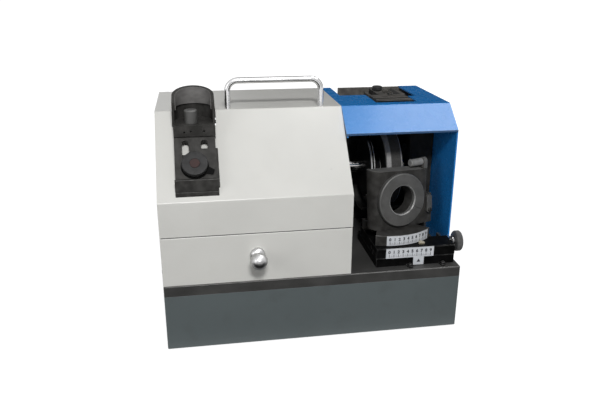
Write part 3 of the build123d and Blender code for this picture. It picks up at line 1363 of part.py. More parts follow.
def port_bracket():
    """Dark block on the guard and the hood's rear plate, with a shelf, a keyway and the clamp's stud."""
    x0 = PORT_X - PORT_W / 2
    x1 = PORT_X + PORT_W / 2
    y0 = FRONT + PORT_IN
    low = SPINDLE_Z + GUARD_R * 0.6
    body = box(x0, x1, y0, BACK_Y, low, PORT_Z)
    body -= rod(GUARD_R + GUARD_SHEET + SEAT, (x0, SPINDLE_Y, SPINDLE_Z), (1, 0, 0), PORT_W)
    body += box(x0, x1, FRONT + PORT_SHELF_IN, y0 + 1, PORT_Z - PORT_SHELF_T, PORT_Z)
    half = PORT_KEY_W / 2 + GAP
    body -= box(PORT_X - half, PORT_X + half, FRONT, BACK_Y, PORT_Z - PORT_KEY_T - GAP, PORT_Z)
    foot = (PORT_X + PORT_STUD_X, port_stud_y(), PORT_Z - PORT_STUD_DOWN)
    body -= rod(PORT_STUD_R + SEAT, foot, (0, 0, 1), PORT_STUD_DOWN)
    length = PORT_STUD_DOWN + 2 * GAP + PORT_SLIDE_T + PORT_KNOB_T / 2
    return [body, rod(PORT_STUD_R, foot, (0, 0, 1), length)]


def port_stud_y():
    """Where the port's clamp stud stands."""
    return FRONT + PORT_STUD_IN


def port_slide():
    """Sliding rest with a key below, a vee on top, a slot for its clamp and a broad tongue to the front."""
    half = PORT_SLIDE_W / 2
    y0 = FRONT + PORT_SLIDE_IN
    y1 = y0 + PORT_SLIDE_L
    body = box(PORT_X - half, PORT_X + half, y0, y1, PORT_SLIDE_Z, PORT_SLIDE_Z + PORT_SLIDE_T)
    mid = PORT_X + TONGUE_SHIFT
    side = TONGUE_PLATE_W / 2
    high = PORT_SLIDE_Z + PORT_SLIDE_T
    body += box(mid - side, mid + side, FRONT + TONGUE_IN, y0, PORT_SLIDE_Z, high)
    for start, width in TONGUE_GROOVES:
        y = FRONT + start
        body -= box(mid - side, mid + side, y, y + width, high - TONGUE_GROOVE_T, high)
    key = PORT_KEY_W / 2
    key_y = FRONT + PORT_IN + PORT_TRAVEL + 1
    body += box(PORT_X - key, PORT_X + key, key_y, y1, PORT_Z - PORT_KEY_T, PORT_SLIDE_Z)
    vee = outline(
        (PORT_X + PORT_VEE_X - PORT_VEE_W / 2, PORT_SLIDE_Z + PORT_SLIDE_T),
        (PORT_X + PORT_VEE_X + PORT_VEE_W / 2, PORT_SLIDE_Z + PORT_SLIDE_T),
        (PORT_X + PORT_VEE_X, PORT_SLIDE_Z + PORT_SLIDE_T - PORT_VEE_W / 2 + 1),
    )
    body -= Pos(0, y1, 0) * extrude(Plane.XZ * vee, amount=PORT_SLIDE_L)
    width = 2 * (PORT_STUD_R + GAP)
    slot = extrude(Rot(0, 0, 90) * SlotOverall(2 * PORT_TRAVEL + width + 1, width), amount=2 * PORT_SLIDE_T)
    return body - Pos(PORT_X + PORT_STUD_X, port_stud_y(), PORT_SLIDE_Z - GAP) * slot


def port_knob():
    """Small round clamp knob of the port."""
    b = 0.8
    t = PORT_KNOB_T
    knob = turned(
        (0, 0), (PORT_KNOB_R - b, 0), (PORT_KNOB_R, b), (PORT_KNOB_R, t - b), (PORT_KNOB_R - b, t), (0, t)
    )
    knob -= Pos(0, 0, t / 4) * Cylinder(PORT_STUD_R + FIT, t / 2 + 2 * GAP)
    return Pos(PORT_X + PORT_STUD_X, port_stud_y(), PORT_SLIDE_Z + PORT_SLIDE_T + GAP) * knob


NODES = (
    base_box, rubber_feet, base_plate, casing_shell, casing_rear_panel,
    power_inlet, switch_housing, switch_rocker,
    drawer_front, drawer_tray, drawer_runners, drawer_knob,
    motor_deck, motor_housing, stator_core, motor_end_bells, motor_bearings, motor_feet, motor_capacitor,
    rotor_shaft, cooling_fan, wheel_flange, wheel_core, wheel_rim, clamp_flange, spindle_nut, wheel_guard,
    carry_handle, handle_fixings,
    setting_rail, rail_studs, setting_plate, setting_cradle, setting_post,
    clamp_knob, clamp_knob_cap,
    hood_shell, hood_back, cover_screws,
    slide_base, slide_base_screws, mark_plate, feed_nut, cross_slide, gib_strip, screw_bracket,
    feed_screw, feed_dial, feed_knob, scale_pointer, swivel_studs,
    swivel_plate, chuck_block, chuck_ring, stop_screw, index_pawl, pawl_pin,
    port_bracket, port_slide, port_knob,
)

os.makedirs("parts", exist_ok=True)
for make in NODES:
    made = make()
    shape = Compound(children=made) if isinstance(made, list) else made
    export_step(shape, os.path.join("parts", make.__name__ + ".step"))
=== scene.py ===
# %% [markdown]
# # Dressing a bench tap grinder
# The packed CAD model is the frame of this lesson: every solid already stands in its place and knows which
# body it moves with. Blender never moves those solids. It rounds their edges, makes the pieces that CAD
# leaves plain, such as knurled knobs and printed scales, and paints everything with nodes.

# %% Load the packed machine
import json
import math

import bmesh
import bpy
from mathutils import Matrix, Vector

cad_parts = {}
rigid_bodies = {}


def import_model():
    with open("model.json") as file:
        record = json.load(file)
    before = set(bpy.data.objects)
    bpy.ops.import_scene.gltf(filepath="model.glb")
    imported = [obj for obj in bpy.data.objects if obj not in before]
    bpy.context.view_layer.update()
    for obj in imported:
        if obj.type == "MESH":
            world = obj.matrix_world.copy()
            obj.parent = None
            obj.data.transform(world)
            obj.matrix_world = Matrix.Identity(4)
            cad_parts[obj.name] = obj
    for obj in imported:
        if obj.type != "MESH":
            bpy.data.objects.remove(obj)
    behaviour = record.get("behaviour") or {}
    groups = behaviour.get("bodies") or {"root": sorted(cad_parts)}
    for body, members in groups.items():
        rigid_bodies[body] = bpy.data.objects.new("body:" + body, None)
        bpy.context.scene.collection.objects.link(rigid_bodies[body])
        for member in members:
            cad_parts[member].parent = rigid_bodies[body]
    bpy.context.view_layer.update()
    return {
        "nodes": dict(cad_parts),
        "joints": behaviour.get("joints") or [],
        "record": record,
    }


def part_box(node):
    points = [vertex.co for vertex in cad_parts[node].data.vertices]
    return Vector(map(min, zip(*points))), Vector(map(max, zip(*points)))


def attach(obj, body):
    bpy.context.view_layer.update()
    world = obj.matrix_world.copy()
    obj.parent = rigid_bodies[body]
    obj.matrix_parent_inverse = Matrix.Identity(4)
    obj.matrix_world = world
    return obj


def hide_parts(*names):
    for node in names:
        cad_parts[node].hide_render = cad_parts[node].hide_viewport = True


for leftover in list(bpy.data.objects):
    bpy.data.objects.remove(leftover)
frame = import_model()
MM = 0.001
record = frame["record"]
slot_of = {row["node"]: row["material_slot"] for row in record["subparts"]}
body_of = {node: body for body, nodes in record["behaviour"]["bodies"].items() for node in nodes}
hinge_of = {joint["name"]: joint for joint in frame["joints"] if joint["type"] == "hinge"}

# %% [markdown]
# ## Camera
# The photograph looks slightly down on the machine from the front, a little left of its middle, so that the
# right flank of the hood is seen from inside. The three turns below are yaw, pitch and a trace of roll, found
# by laying the CAD corners over the photograph. A normal lens without shift keeps the other views honest.

# %% Camera
CAMERA_PLACE = (-0.1464, -0.8528, 0.4731)
CAMERA_YAW = -0.164397
CAMERA_PITCH = math.pi / 2 - 0.345763
CAMERA_ROLL = 0.003377
camera_data = bpy.data.cameras.new("camera")
camera_data.lens = 37.99
camera_data.sensor_width = 36.0
camera = bpy.data.objects.new("camera", camera_data)
bpy.context.scene.collection.objects.link(camera)
camera.matrix_world = (
    Matrix.Translation(CAMERA_PLACE) @ Matrix.Rotation(CAMERA_YAW, 4, "Z")
    @ Matrix.Rotation(CAMERA_PITCH, 4, "X") @ Matrix.Rotation(CAMERA_ROLL, 4, "Z")
)
bpy.context.scene.camera = camera
print("camera at", tuple(round(c, 3) for c in camera.matrix_world.translation))

# %% [markdown]
# ## A socket that understands arithmetic
# A finish is a small sum: paint colour plus mottling, minus dirt, bright where an edge is rubbed. Wiring each
# sum by hand hides it among node names. One class that wraps a socket lets Python's operators add the Math
# nodes, and its `node` method makes any other node from its type, settings and inputs.


# %% Wire
class Wire:
    """An output socket of a shader tree, with operators that add Math nodes."""

    def __init__(self, tree, socket=None):
        self.tree = tree
        self.socket = socket

    def node(self, kind, settings=None, inputs=None, out=0):
        made = self.tree.nodes.new("ShaderNode" + kind)
        for name, value in (settings or {}).items():
            setattr(made, name, value)
        for key, value in (inputs or {}).items():
            if isinstance(value, Wire):
                self.tree.links.new(value.socket, made.inputs[key])
            else:
                made.inputs[key].default_value = value
        return Wire(self.tree, made.outputs[out] if made.outputs else None)

    def math(self, operation, *values):
        return self.node("Math", {"operation": operation}, dict(enumerate(values)))

    def __add__(self, other):
        return self.math("ADD", self, other)

    def __sub__(self, other):
        return self.math("SUBTRACT", self, other)

    def __rsub__(self, other):
        return self.math("SUBTRACT", other, self)

    def __mul__(self, other):
        return self.math("MULTIPLY", self, other)

    __radd__ = __add__
    __rmul__ = __mul__

    def between(self, low, high):
        """0 below low, 1 above high, smooth in between."""
        return self.node("MapRange", {"interpolation_type": "SMOOTHSTEP"}, {0: self, 1: low, 2: high})

    def blend(self, first, second):
        """The first colour where this is 0, the second where it is 1."""
        pair = [c if isinstance(c, Wire) else (*c, 1.0) for c in (first, second)]
        return self.node("Mix", {"data_type": "RGBA"}, {0: self, 6: pair[0], 7: pair[1]}, out=2)


print("operators:", [name for name in vars(Wire) if name.startswith("__")])

# %% [markdown]
# ## Building blocks of every finish
# Real surfaces vary at several sizes at once: broad clouds in a coat of paint, fingernail-sized stains, and
# grain too fine to see except in the highlight. All of these are noise in the machine's own millimetres, so
# a pattern stays put when a piece moves. Edges that were rounded later carry a mark called `edge`, and
# handling rubs those brighter, in broken stretches rather than as a clean line. On the black flange the same
# mask carries a painted highlight instead.

# %% Finish helpers
finish_of = {}


def spots(start, size, detail=3.0, stretch=(1.0, 1.0, 1.0), shift=0.0):
    """Noise from 0 to 1 with blobs about `size` millimetres across."""
    where = start.node("TexCoord", out="Object")
    scale = tuple(1 / (size * MM * s) for s in stretch)
    where = start.node("Mapping", None, {"Vector": where, "Location": (shift,) * 3, "Scale": scale})
    return start.node("TexNoise", None, {"Vector": where, "Scale": 1.0, "Detail": detail})


def place_of(start, axes="XYZ"):
    """The named coordinates of a surface point in the machine's frame, in metres."""
    where = start.node("TexCoord", out="Object")
    return [start.node("SeparateXYZ", None, {0: where}, out=axis) for axis in axes]


def rubbed_edges(start, run=7.0, low=0.38, high=0.55):
    """Mask of the rounded edges, broken up along runs of a few millimetres."""
    edge = start.node("Attribute", {"attribute_name": "edge"}, out="Fac")
    return edge * spots(start, run, 4.0, shift=3.1).between(low, high)


def relief(start, height, depth):
    """Bump whose full height is `depth` millimetres."""
    return start.node("Bump", None, {"Height": height, "Distance": depth * MM, "Strength": 1.0})


def finish(slot, build):
    """Material from a function that returns the values of the shader's sockets."""
    material = bpy.data.materials.new(slot)
    material.use_nodes = True
    material.node_tree.nodes.clear()
    start = Wire(material.node_tree)
    shader = start.node("BsdfPrincipled", None, build(start))
    start.node("OutputMaterial", None, {"Surface": shader})
    finish_of[slot] = material
    print("finish", slot, "nodes", len(material.node_tree.nodes))
    return material


def tint(colour, share):
    """A colour made darker or lighter by a share."""
    return tuple(min(1.0, c * share) for c in colour)


# %% [markdown]
# ## Sprayed enamel: white casing, grey base, blue hood
# The covers are folded sheet with sprayed and baked enamel. Such paint is even, but a raking light shows its
# orange peel, a skin of bumps one or two millimetres wide, and hands leave slightly darker clouds. One recipe
# serves all three covers: only the colour, the gloss and the amount of dirt change. A coat layer over the
# hood gives its sharper second highlight. The front face of the hood's lip is darker, which is painted shade.

# %% Enamel
EAVE_SHADE = (0.012, 0.075, 0.20)
EAVE_SHADE_FADE = 0.3
HOOD_EAVE_SHADE = (-65.9, 270.2)


def enamel(slot, colour, rough, dirt_colour, dirt_share, worn_and_lit_tone, peel=0.02, coat=0.0, eave_shade=None):
    """Sprayed paint; painted shade darkens the hood's front lip, before a depth and above a height given in
    millimetres by the last argument.
    """
    def build(start):
        cloud = spots(start, 90.0, 2.0).between(0.3, 0.7)
        tone = cloud.blend(tint(colour, 0.965), tint(colour, 1.02))
        stain = spots(start, 28.0, 6.0, shift=1.7).between(0.52, 0.85) * dirt_share
        tone = stain.blend(tone, dirt_colour)
        edge = rubbed_edges(start)
        tone = edge.blend(tone, worn_and_lit_tone)
        # Painted shade: the front face of the hood's lip, before a depth and above a height, is painted dark
        # blue.
        if eave_shade:
            y, z = place_of(start, "YZ")
            front = 1 - y.between(eave_shade[0] * MM, (eave_shade[0] + EAVE_SHADE_FADE) * MM)
            above = z.between((eave_shade[1] - EAVE_SHADE_FADE) * MM, eave_shade[1] * MM)
            tone = (front * above).blend(tone, EAVE_SHADE)
        return {
            "Base Color": tone,
            "Roughness": rough + 0.10 * (spots(start, 14.0, 4.0, shift=5.0) - 0.5) + 0.12 * stain,
            "Coat Weight": coat,
            "Coat Roughness": 0.12,
            "Normal": relief(start, spots(start, 1.8, 2.0), peel),
        }
    return finish(slot, build)


enamel("casing_white", (0.785, 0.782, 0.745), 0.30, (0.60, 0.58, 0.52), 0.12, (0.86, 0.86, 0.84))
enamel("base_grey", (0.124, 0.148, 0.152), 0.46, (0.078, 0.085, 0.085), 0.35, (0.24, 0.26, 0.27))
# The hood's finish adds a strip of painted shade on its lip.
enamel("hood_blue", (0.02, 0.25, 0.70), 0.27, (0.02, 0.16, 0.46), 0.18, (0.14, 0.42, 0.82),
       peel=0.014, coat=0.20, eave_shade=HOOD_EAVE_SHADE)

# %% [markdown]
# ## Ground plate
# The machine plate is cast iron, ground on top and along its edges and then darkened. A grinder leaves fine
# lines in one direction, here along X, so the noise is stretched a hundredfold that way. The sharp corners
# catch on sleeves and taps and shine through as bare metal.


# %% Ground plate finish
def ground_plate(start):
    lines = spots(start, 0.7, 3.0, (90.0, 1.0, 1.0))
    cloud = spots(start, 40.0, 5.0, shift=2.0).between(0.3, 0.75)
    tone = cloud.blend((0.052, 0.0515, 0.050), (0.088, 0.087, 0.084))
    tone = (0.35 * lines).blend(tone, (0.097, 0.096, 0.093))
    edge = rubbed_edges(start, 16.0, 0.25, 0.5)
    return {
        "Base Color": edge.blend(tone, (0.34, 0.335, 0.33)),
        "Metallic": 0.25 + 0.5 * edge,
        "Roughness": 0.36 + 0.16 * lines + 0.10 * cloud,
        "Normal": relief(start, lines, 0.012),
    }


finish("plate_dark", ground_plate)

# %% [markdown]
# ## Blackened steel
# The slide, the swivel head and the setting station are milled steel, dipped in a hot salt bath that turns
# the skin black. The black is never even: it is browner where the bath was weak and it rubs through to grey
# steel on corners. Faint milling lines stay visible under it. Three places differ, and masks in the machine's
# coordinates find them: the trough's inner wall above its lip is a paler steel, the chuck block's top is
# painted lighter as painted light, and the roof port's slide is painted nearly black below its top face as
# painted shade.

# %% Trough wall
TROUGH_X, TROUGH_Y, TROUGH_R, TROUGH_LIP = -150.3 * MM, -40.0 * MM, 22.1 * MM, 311.2 * MM


def inside_trough(start):
    """1 on the trough's inner wall above its lip: a half tube that runs on to the front."""
    x, y, z = place_of(start)
    across = x - TROUGH_X
    back = start.math("MAXIMUM", y - TROUGH_Y, 0.0)
    radius = start.math("SQRT", across * across + back * back)
    return (1 - radius.between(TROUGH_R, TROUGH_R + 0.3 * MM)) * z.between(TROUGH_LIP - 0.1 * MM, TROUGH_LIP)


# %% Blackened steel finish
RECESS_SHADE = (0.006,) * 3


def blackened(slot, dark, light, bare, metal, gloss, trough=None, shade_below=None, top=None):
    """Black skin; `bare` is the steel at its corners, `trough` that of the trough's paler inner wall.

    Below the height `shade_below`, in metres, the skin is painted nearly black as painted shade. `top` is the
    upward direction, the height and the tone of a top face that is painted lighter as painted light.
    """
    def build(start):
        lines = spots(start, 0.5, 2.0, (1.0, 24.0, 1.0), shift=4.0)
        cloud = spots(start, 11.0, 6.0).between(0.3, 0.72)
        tone = cloud.blend(dark, light)
        if trough:
            trough_mottle = spots(start, 6.0, 5.0, (2.0, 2.0, 1.0), shift=8.0).between(0.2, 0.8)
            steel = trough_mottle.blend(tint(trough, 0.78), tint(trough, 1.15))
            tone = inside_trough(start).blend(tone, steel)
        # Painted shade: below a height the skin is painted nearly black, like shade in a recess.
        if shade_below:
            z, = place_of(start, "Z")
            tone = z.between(shade_below - 0.1 * MM, shade_below).blend(RECESS_SHADE, tone)
        # Painted light: a top face above a height is painted lighter, as if it caught more light.
        if top:
            up, height, worn_and_lit_tone = top
            rise = start.node("VectorMath", {"operation": "DOT_PRODUCT"},
                              {0: start.node("TexCoord", out="Object"), 1: up}, out="Value")
            tone = (rise.between(height - 0.4 * MM, height) * (0.7 + 0.3 * cloud)).blend(tone, worn_and_lit_tone)
        edge = rubbed_edges(start, 9.0, 0.3, 0.6)
        return {
            "Base Color": edge.blend(tone, bare),
            "Metallic": metal + 0.5 * edge,
            "Roughness": 0.36 + 0.16 * cloud + 0.08 * lines,
            "Specular IOR Level": gloss,
            "Normal": relief(start, lines, 0.008),
        }
    return finish(slot, build)


# %% Blackened pieces
SKIN = (0.034, 0.033, 0.031), (0.064, 0.062, 0.059)
STEEL = (0.21, 0.208, 0.202)
BLOCK_UP = (0.06, 0.02, 0.998)
BLOCK_LIT_HEIGHT = 222.6 * MM
PORT_SHADE_HEIGHT = 304.7 * MM
blackened("black_steel", *SKIN, STEEL, 0.05, 0.10)
# The chuck block's top is painted lighter: painted light.
blackened("block_steel", *SKIN, STEEL, 0.05, 0.10, top=(BLOCK_UP, BLOCK_LIT_HEIGHT, (0.16, 0.158, 0.152)))
blackened("station_black", (0.036, 0.035, 0.033), (0.068, 0.066, 0.063), (0.095, 0.093, 0.090), 0.05, 0.10)
blackened("guard_black", (0.022, 0.0215, 0.0205), (0.040, 0.039, 0.037), (0.10, 0.10, 0.098), 0.0, 0.06)
blackened("slide_black", (0.003, 0.003, 0.003), (0.006, 0.006, 0.006), (0.12, 0.12, 0.12), 0.0, 0.04)
blackened("trough_steel", *SKIN, (0.17, 0.168, 0.162), 0.05, 0.12, trough=(0.20, 0.195, 0.19))
blackened("stop_grey", (0.20, 0.20, 0.195), (0.30, 0.298, 0.29), (0.40, 0.40, 0.39), 0.0, 0.30)
# The port slide is painted nearly black below its top face: painted shade in its grooves.
blackened("port_grey", (0.066, 0.063, 0.058), (0.118, 0.112, 0.105), (0.24, 0.235, 0.23), 0.05, 0.20,
          shade_below=PORT_SHADE_HEIGHT)
blackened("bracket_grey", (0.085, 0.080, 0.073), (0.15, 0.142, 0.130), (0.24, 0.235, 0.23), 0.05, 0.20)

# %% Black flange and screws
RIM_HIGHLIGHT_FULL, RIM_HIGHLIGHT_GONE = 12.0 * MM, 24.0 * MM


def dull_flange(start):
    """Black flange with a painted highlight on its rim edges, bright towards the front."""
    y, = place_of(start, "Y")
    # Painted highlight: the rim's rounded edges are painted near white in front and fade out towards the
    # rear.
    rim = rubbed_edges(start, 20.0, 0.1, 0.3) * (1 - y.between(RIM_HIGHLIGHT_FULL, RIM_HIGHLIGHT_GONE))
    cloud = spots(start, 11.0, 6.0).between(0.3, 0.72)
    return {
        "Base Color": rim.blend(cloud.blend((0.012,) * 3, (0.022,) * 3), (0.85, 0.85, 0.84)),
        "Roughness": 0.50 + 0.16 * cloud,
        "Specular IOR Level": 0.03,
    }


def black_screw(start):
    cloud = spots(start, 2.0, 4.0).between(0.3, 0.7)
    return {
        "Base Color": cloud.blend((0.020, 0.020, 0.021), (0.045, 0.044, 0.043)),
        "Metallic": 0.5,
        "Roughness": 0.30 + 0.18 * cloud,
    }


finish("flange_black", dull_flange)
finish("dark_screw", black_screw)

# %% [markdown]
# ## Turned steel
# The chuck ring was faced in a lathe, so its lines are circles about the chuck's own axis. A cross product
# with that axis gives a point's distance from it as a plain number, and noise that reads only this number
# draws the rings. Other bright pieces get short streaks instead.

# %% Turned steel finishes
chuck_seat = next(m for m in record["mounts"] if m["name"] == "chuck_seat")
RINGS_PER_METRE = 1800.0


def facing(axis, place):
    """Matrix whose Z runs along an axis, at a place."""
    rotation = Vector(axis).to_track_quat("Z", "Y").to_matrix().to_4x4()
    return Matrix.Translation(Vector(place)) @ rotation


def axis_distance(start, axis, place):
    """Distance of a surface point from a line, in metres."""
    to_axis = start.node("VectorMath", {"operation": "SUBTRACT"},
                         {0: start.node("TexCoord", out="Object"), 1: place})
    across = start.node("VectorMath", {"operation": "CROSS_PRODUCT"}, {0: to_axis, 1: axis})
    return start.node("VectorMath", {"operation": "LENGTH"}, {0: across}, out="Value")


def turned_ring(start):
    radius = axis_distance(start, chuck_seat["axis"], chuck_seat["pos_m"])
    rings = start.node("TexNoise", {"noise_dimensions": "1D"},
                       {"W": radius * RINGS_PER_METRE, "Scale": 1.0, "Detail": 3.0})
    cloud = spots(start, 13.0, 5.0).between(0.3, 0.7)
    tone = cloud.blend((0.076, 0.076, 0.073), (0.112, 0.111, 0.108))
    tone = (0.35 * rings).blend(tone, (0.14, 0.14, 0.137))
    edge = rubbed_edges(start, 9.0, 0.2, 0.45)
    bore_edge = edge * (1 - radius.between(20.0 * MM, 24.0 * MM))
    # Painted light: the bore wall near the axis is painted lighter, as if light fell into the bore.
    tone = radius.between(19.0 * MM, 20.5 * MM).blend((0.22, 0.22, 0.215), tone)
    return {
        "Base Color": bore_edge.blend((0.6 * edge).blend(tone, (0.20, 0.20, 0.195)), (0.60, 0.60, 0.59)),
        "Metallic": 0.15 + 0.6 * bore_edge,
        "Roughness": 0.38 + 0.12 * rings + 0.06 * cloud,
        "Normal": relief(start, rings, 0.010),
    }


def bright_steel(start):
    streak = spots(start, 0.5, 3.0, (1.0, 12.0, 12.0))
    cloud = spots(start, 9.0, 5.0).between(0.35, 0.75)
    return {
        "Base Color": cloud.blend((0.56, 0.56, 0.55), (0.66, 0.66, 0.65)),
        "Metallic": 1.0,
        "Roughness": 0.20 + 0.14 * streak + 0.10 * cloud,
        "Normal": relief(start, streak, 0.006),
    }


finish("ring_steel", turned_ring)
finish("bright_steel", bright_steel)

# %% [markdown]
# ## Chrome and brass
# The handle, the drawer knob and the feed dial are plated. Fresh chrome is nearly a mirror, and what tells
# it from a perfect one are the smudges of hands, so the roughness varies, from glassy to slightly dull. The
# handle and the ball knob are worn to a satin, and the dial is a darker plating. The small scale pointer and
# the feed nut are brass.


# %% Chrome and brass finishes
def plated(slot, clean, touched, rough):
    """Polished plating that differs from a mirror by its smudges."""
    def build(start):
        smudge = spots(start, 16.0, 6.0).between(0.45, 0.8)
        return {
            "Base Color": smudge.blend(clean, touched),
            "Metallic": 1.0,
            "Roughness": rough + 0.13 * smudge,
        }
    return finish(slot, build)


def brass(start):
    cloud = spots(start, 3.0, 5.0).between(0.3, 0.7)
    return {
        "Base Color": cloud.blend((0.58, 0.52, 0.38), (0.68, 0.63, 0.50)),
        "Metallic": 0.6,
        "Roughness": 0.30 + 0.14 * cloud,
    }


plated("chrome", (0.82, 0.825, 0.83), (0.76, 0.765, 0.77), 0.05)
plated("handle_chrome", (0.72, 0.72, 0.724), (0.66, 0.66, 0.663), 0.20)
plated("knob_chrome", (0.56, 0.56, 0.563), (0.50, 0.50, 0.503), 0.33)
plated("satin_chrome", (0.60, 0.60, 0.605), (0.54, 0.54, 0.545), 0.17)
plated("dial_chrome", (0.25, 0.25, 0.255), (0.17, 0.17, 0.172), 0.20)
finish("brass", brass)

# %% [markdown]
# ## Moulded plastic and rubber
# The knobs, switch and inlet are moulded black plastic with a spark-eroded skin, a grain of about a third of
# a millimetre that softens the highlight. The rubber feet use the same recipe, rougher and duller. The red
# cap of the clamp knob has darkened with oil.


# %% Plastic and rubber finishes
def moulded(slot, dark, light, rough, grain=0.35, depth=0.012, gloss=0.5):
    def build(start):
        cloud = spots(start, 7.0, 5.0).between(0.3, 0.7)
        skin = spots(start, grain, 2.0, shift=6.0)
        edge = rubbed_edges(start, 5.0, 0.45, 0.7)
        tone = cloud.blend(dark, light)
        return {
            "Base Color": (0.5 * edge).blend(tone, tint(light, 2.2)),
            "Roughness": rough + 0.14 * (skin - 0.5) + 0.06 * cloud,
            "Specular IOR Level": gloss,
            "Normal": relief(start, skin, depth),
        }
    return finish(slot, build)


moulded("black_plastic", (0.022, 0.022, 0.0225), (0.038, 0.038, 0.0385), 0.42, gloss=0.2)
moulded("feed_plastic", (0.090, 0.090, 0.0905), (0.132, 0.132, 0.1325), 0.44, gloss=0.25)
moulded("rocker_plastic", (0.020, 0.020, 0.021), (0.030, 0.030, 0.031), 0.34)
moulded("capacitor_plastic", (0.030, 0.031, 0.034), (0.042, 0.043, 0.046), 0.48)
moulded("red_plastic", (0.036, 0.021, 0.020), (0.052, 0.026, 0.024), 0.50, gloss=0.2)
moulded("rubber", (0.016, 0.016, 0.016), (0.028, 0.028, 0.028), 0.80, 0.6, 0.03)

# %% [markdown]
# ## Metals inside the covers
# Behind the covers sit a cast motor, a stack of thin steel sheets, a zinc-coated drawer and the wheel. They
# show only when the drawer is pulled or through the openings, but they are finished for that moment. Zinc
# freezes into flat crystals, so Voronoi cells with different greys give its spangle. The core's sheets are a
# wave along X. The abrasive is grit of two sizes, dark with use and pale on its left face and right edge,
# where it cuts; these pale bands also serve as painted highlights.


# %% Inner finishes
def zinc_sheet(start):
    where = start.node("TexCoord", out="Object")
    cell = start.node("TexVoronoi", None, {"Vector": where, "Scale": 140.0}, out="Color")
    grey = start.node("SeparateColor", None, {0: cell})
    return {
        "Base Color": grey.blend((0.46, 0.47, 0.48), (0.60, 0.61, 0.62)),
        "Metallic": 0.9,
        "Roughness": 0.34 + 0.16 * grey,
    }


def cast_alloy(start):
    skin = spots(start, 0.9, 4.0)
    cloud = spots(start, 22.0, 4.0).between(0.3, 0.7)
    return {
        "Base Color": cloud.blend((0.36, 0.365, 0.37), (0.48, 0.485, 0.49)),
        "Metallic": 0.85,
        "Roughness": 0.46 + 0.18 * skin,
        "Normal": relief(start, skin, 0.05),
    }


# %% Core and wheel finishes
SHEET_PAIR = 0.9 * MM
DRESSED_AND_LIT_X, WORN_AND_LIT_X = 124.5 * MM, 139.4 * MM


def stacked_core(start):
    x, = place_of(start, "X")
    sheet = start.math("SINE", x * (2 * math.pi / SHEET_PAIR)) * 0.5 + 0.5
    return {
        "Base Color": sheet.blend((0.10, 0.10, 0.11), (0.30, 0.30, 0.31)),
        "Metallic": 0.8,
        "Roughness": 0.42 + 0.15 * spots(start, 6.0),
        "Normal": relief(start, sheet, 0.05),
    }


def abrasive(start):
    grit = spots(start, 0.45, 2.0)
    coarse = spots(start, 1.3, 3.0, shift=2.0).between(0.35, 0.65)
    x, = place_of(start, "X")
    grain = 0.6 * coarse + 0.4 * grit
    tone = grain.blend((0.030, 0.029, 0.028), (0.075, 0.073, 0.070))
    # Pale bands on the wheel's left face and right edge: dressed grit, and also painted highlights.
    dressed_and_lit = 1 - x.between(DRESSED_AND_LIT_X - 0.8 * MM, DRESSED_AND_LIT_X + 0.8 * MM)
    wear_and_highlight = dressed_and_lit + x.between(WORN_AND_LIT_X - 0.2 * MM, WORN_AND_LIT_X + 0.2 * MM)
    return {
        "Base Color": wear_and_highlight.blend(tone, grain.blend((0.30, 0.295, 0.29), (0.46, 0.455, 0.45))),
        "Roughness": 0.86 + 0.10 * (grit - 0.5),
        "Normal": relief(start, grit, 0.18),
    }


finish("zinc_sheet", zinc_sheet)
finish("motor_alloy", cast_alloy)
finish("wheel_alloy", cast_alloy)
finish("core_steel", stacked_core)
finish("abrasive", abrasive)

# %% [markdown]
# ## Printed scales
# The scales are white plastic film with black print. Film is smooth and slightly bluish, and yellows in
# patches. The ink is thin and lets a little white through, so it is a very dark grey.


# %% Film and ink finishes
def white_film(start):
    cloud = spots(start, 8.0, 4.0).between(0.3, 0.7)
    return {
        "Base Color": cloud.blend((0.72, 0.75, 0.79), (0.78, 0.80, 0.83)),
        "Roughness": 0.36 + 0.10 * cloud,
    }


def black_ink(start):
    thin = spots(start, 0.8, 3.0).between(0.4, 0.8)
    return {
        "Base Color": thin.blend((0.020, 0.022, 0.032), (0.055, 0.060, 0.080)),
        "Roughness": 0.5 + 0.1 * thin,
    }


finish("plate_white", white_film)
ink = finish("scale_ink", black_ink)
print("slots without a finish:", sorted(set(slot_of.values()) - set(finish_of)))

# %% [markdown]
# ## From bmesh to a piece on the machine
# A piece needs a mesh, a finish, a body to ride on and, if it stands for a CAD solid, the name of that solid.
# Smooth shading with sharp edges kept only at real corners lets a faceted cylinder look round, and weighted
# normals keep the large flat faces flat right up to their rounded edges.

# %% Piece helper
CORNER = math.radians(50)


def add_piece(name, shape, body, slot=None, replaced=(), material=None):
    """Closes a bmesh into an object that rides on a body."""
    bmesh.ops.recalc_face_normals(shape, faces=shape.faces)
    for face in shape.faces:
        face.smooth = True
    mesh = bpy.data.meshes.new(name)
    shape.to_mesh(mesh)
    shape.free()
    mesh.set_sharp_from_angle(angle=CORNER)
    mesh.materials.append(material or finish_of[slot])
    piece = bpy.data.objects.new(name, mesh)
    bpy.context.scene.collection.objects.link(piece)
    normals = piece.modifiers.new("weighted normals", "WEIGHTED_NORMAL")
    normals.keep_sharp = True
    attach(piece, body)
    if replaced:
        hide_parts(*replaced)
    return piece


# %% [markdown]
# ## Rounding the edges of the solids
# CAD corners are perfectly sharp and catch no light, which is what makes a render look like CAD. Real sheet
# edges are deburred and real milled corners are broken with a file. The solid's triangles are welded, flat
# areas are joined into single faces, and only corners sharper than thirty degrees are bevelled, so that round
# walls stay as they are. The new faces are marked as `edge`, which the finishes use for wear and the black
# flange for a painted highlight. Most nodes wear the finish of their record's slot, and a few have one of
# their own.

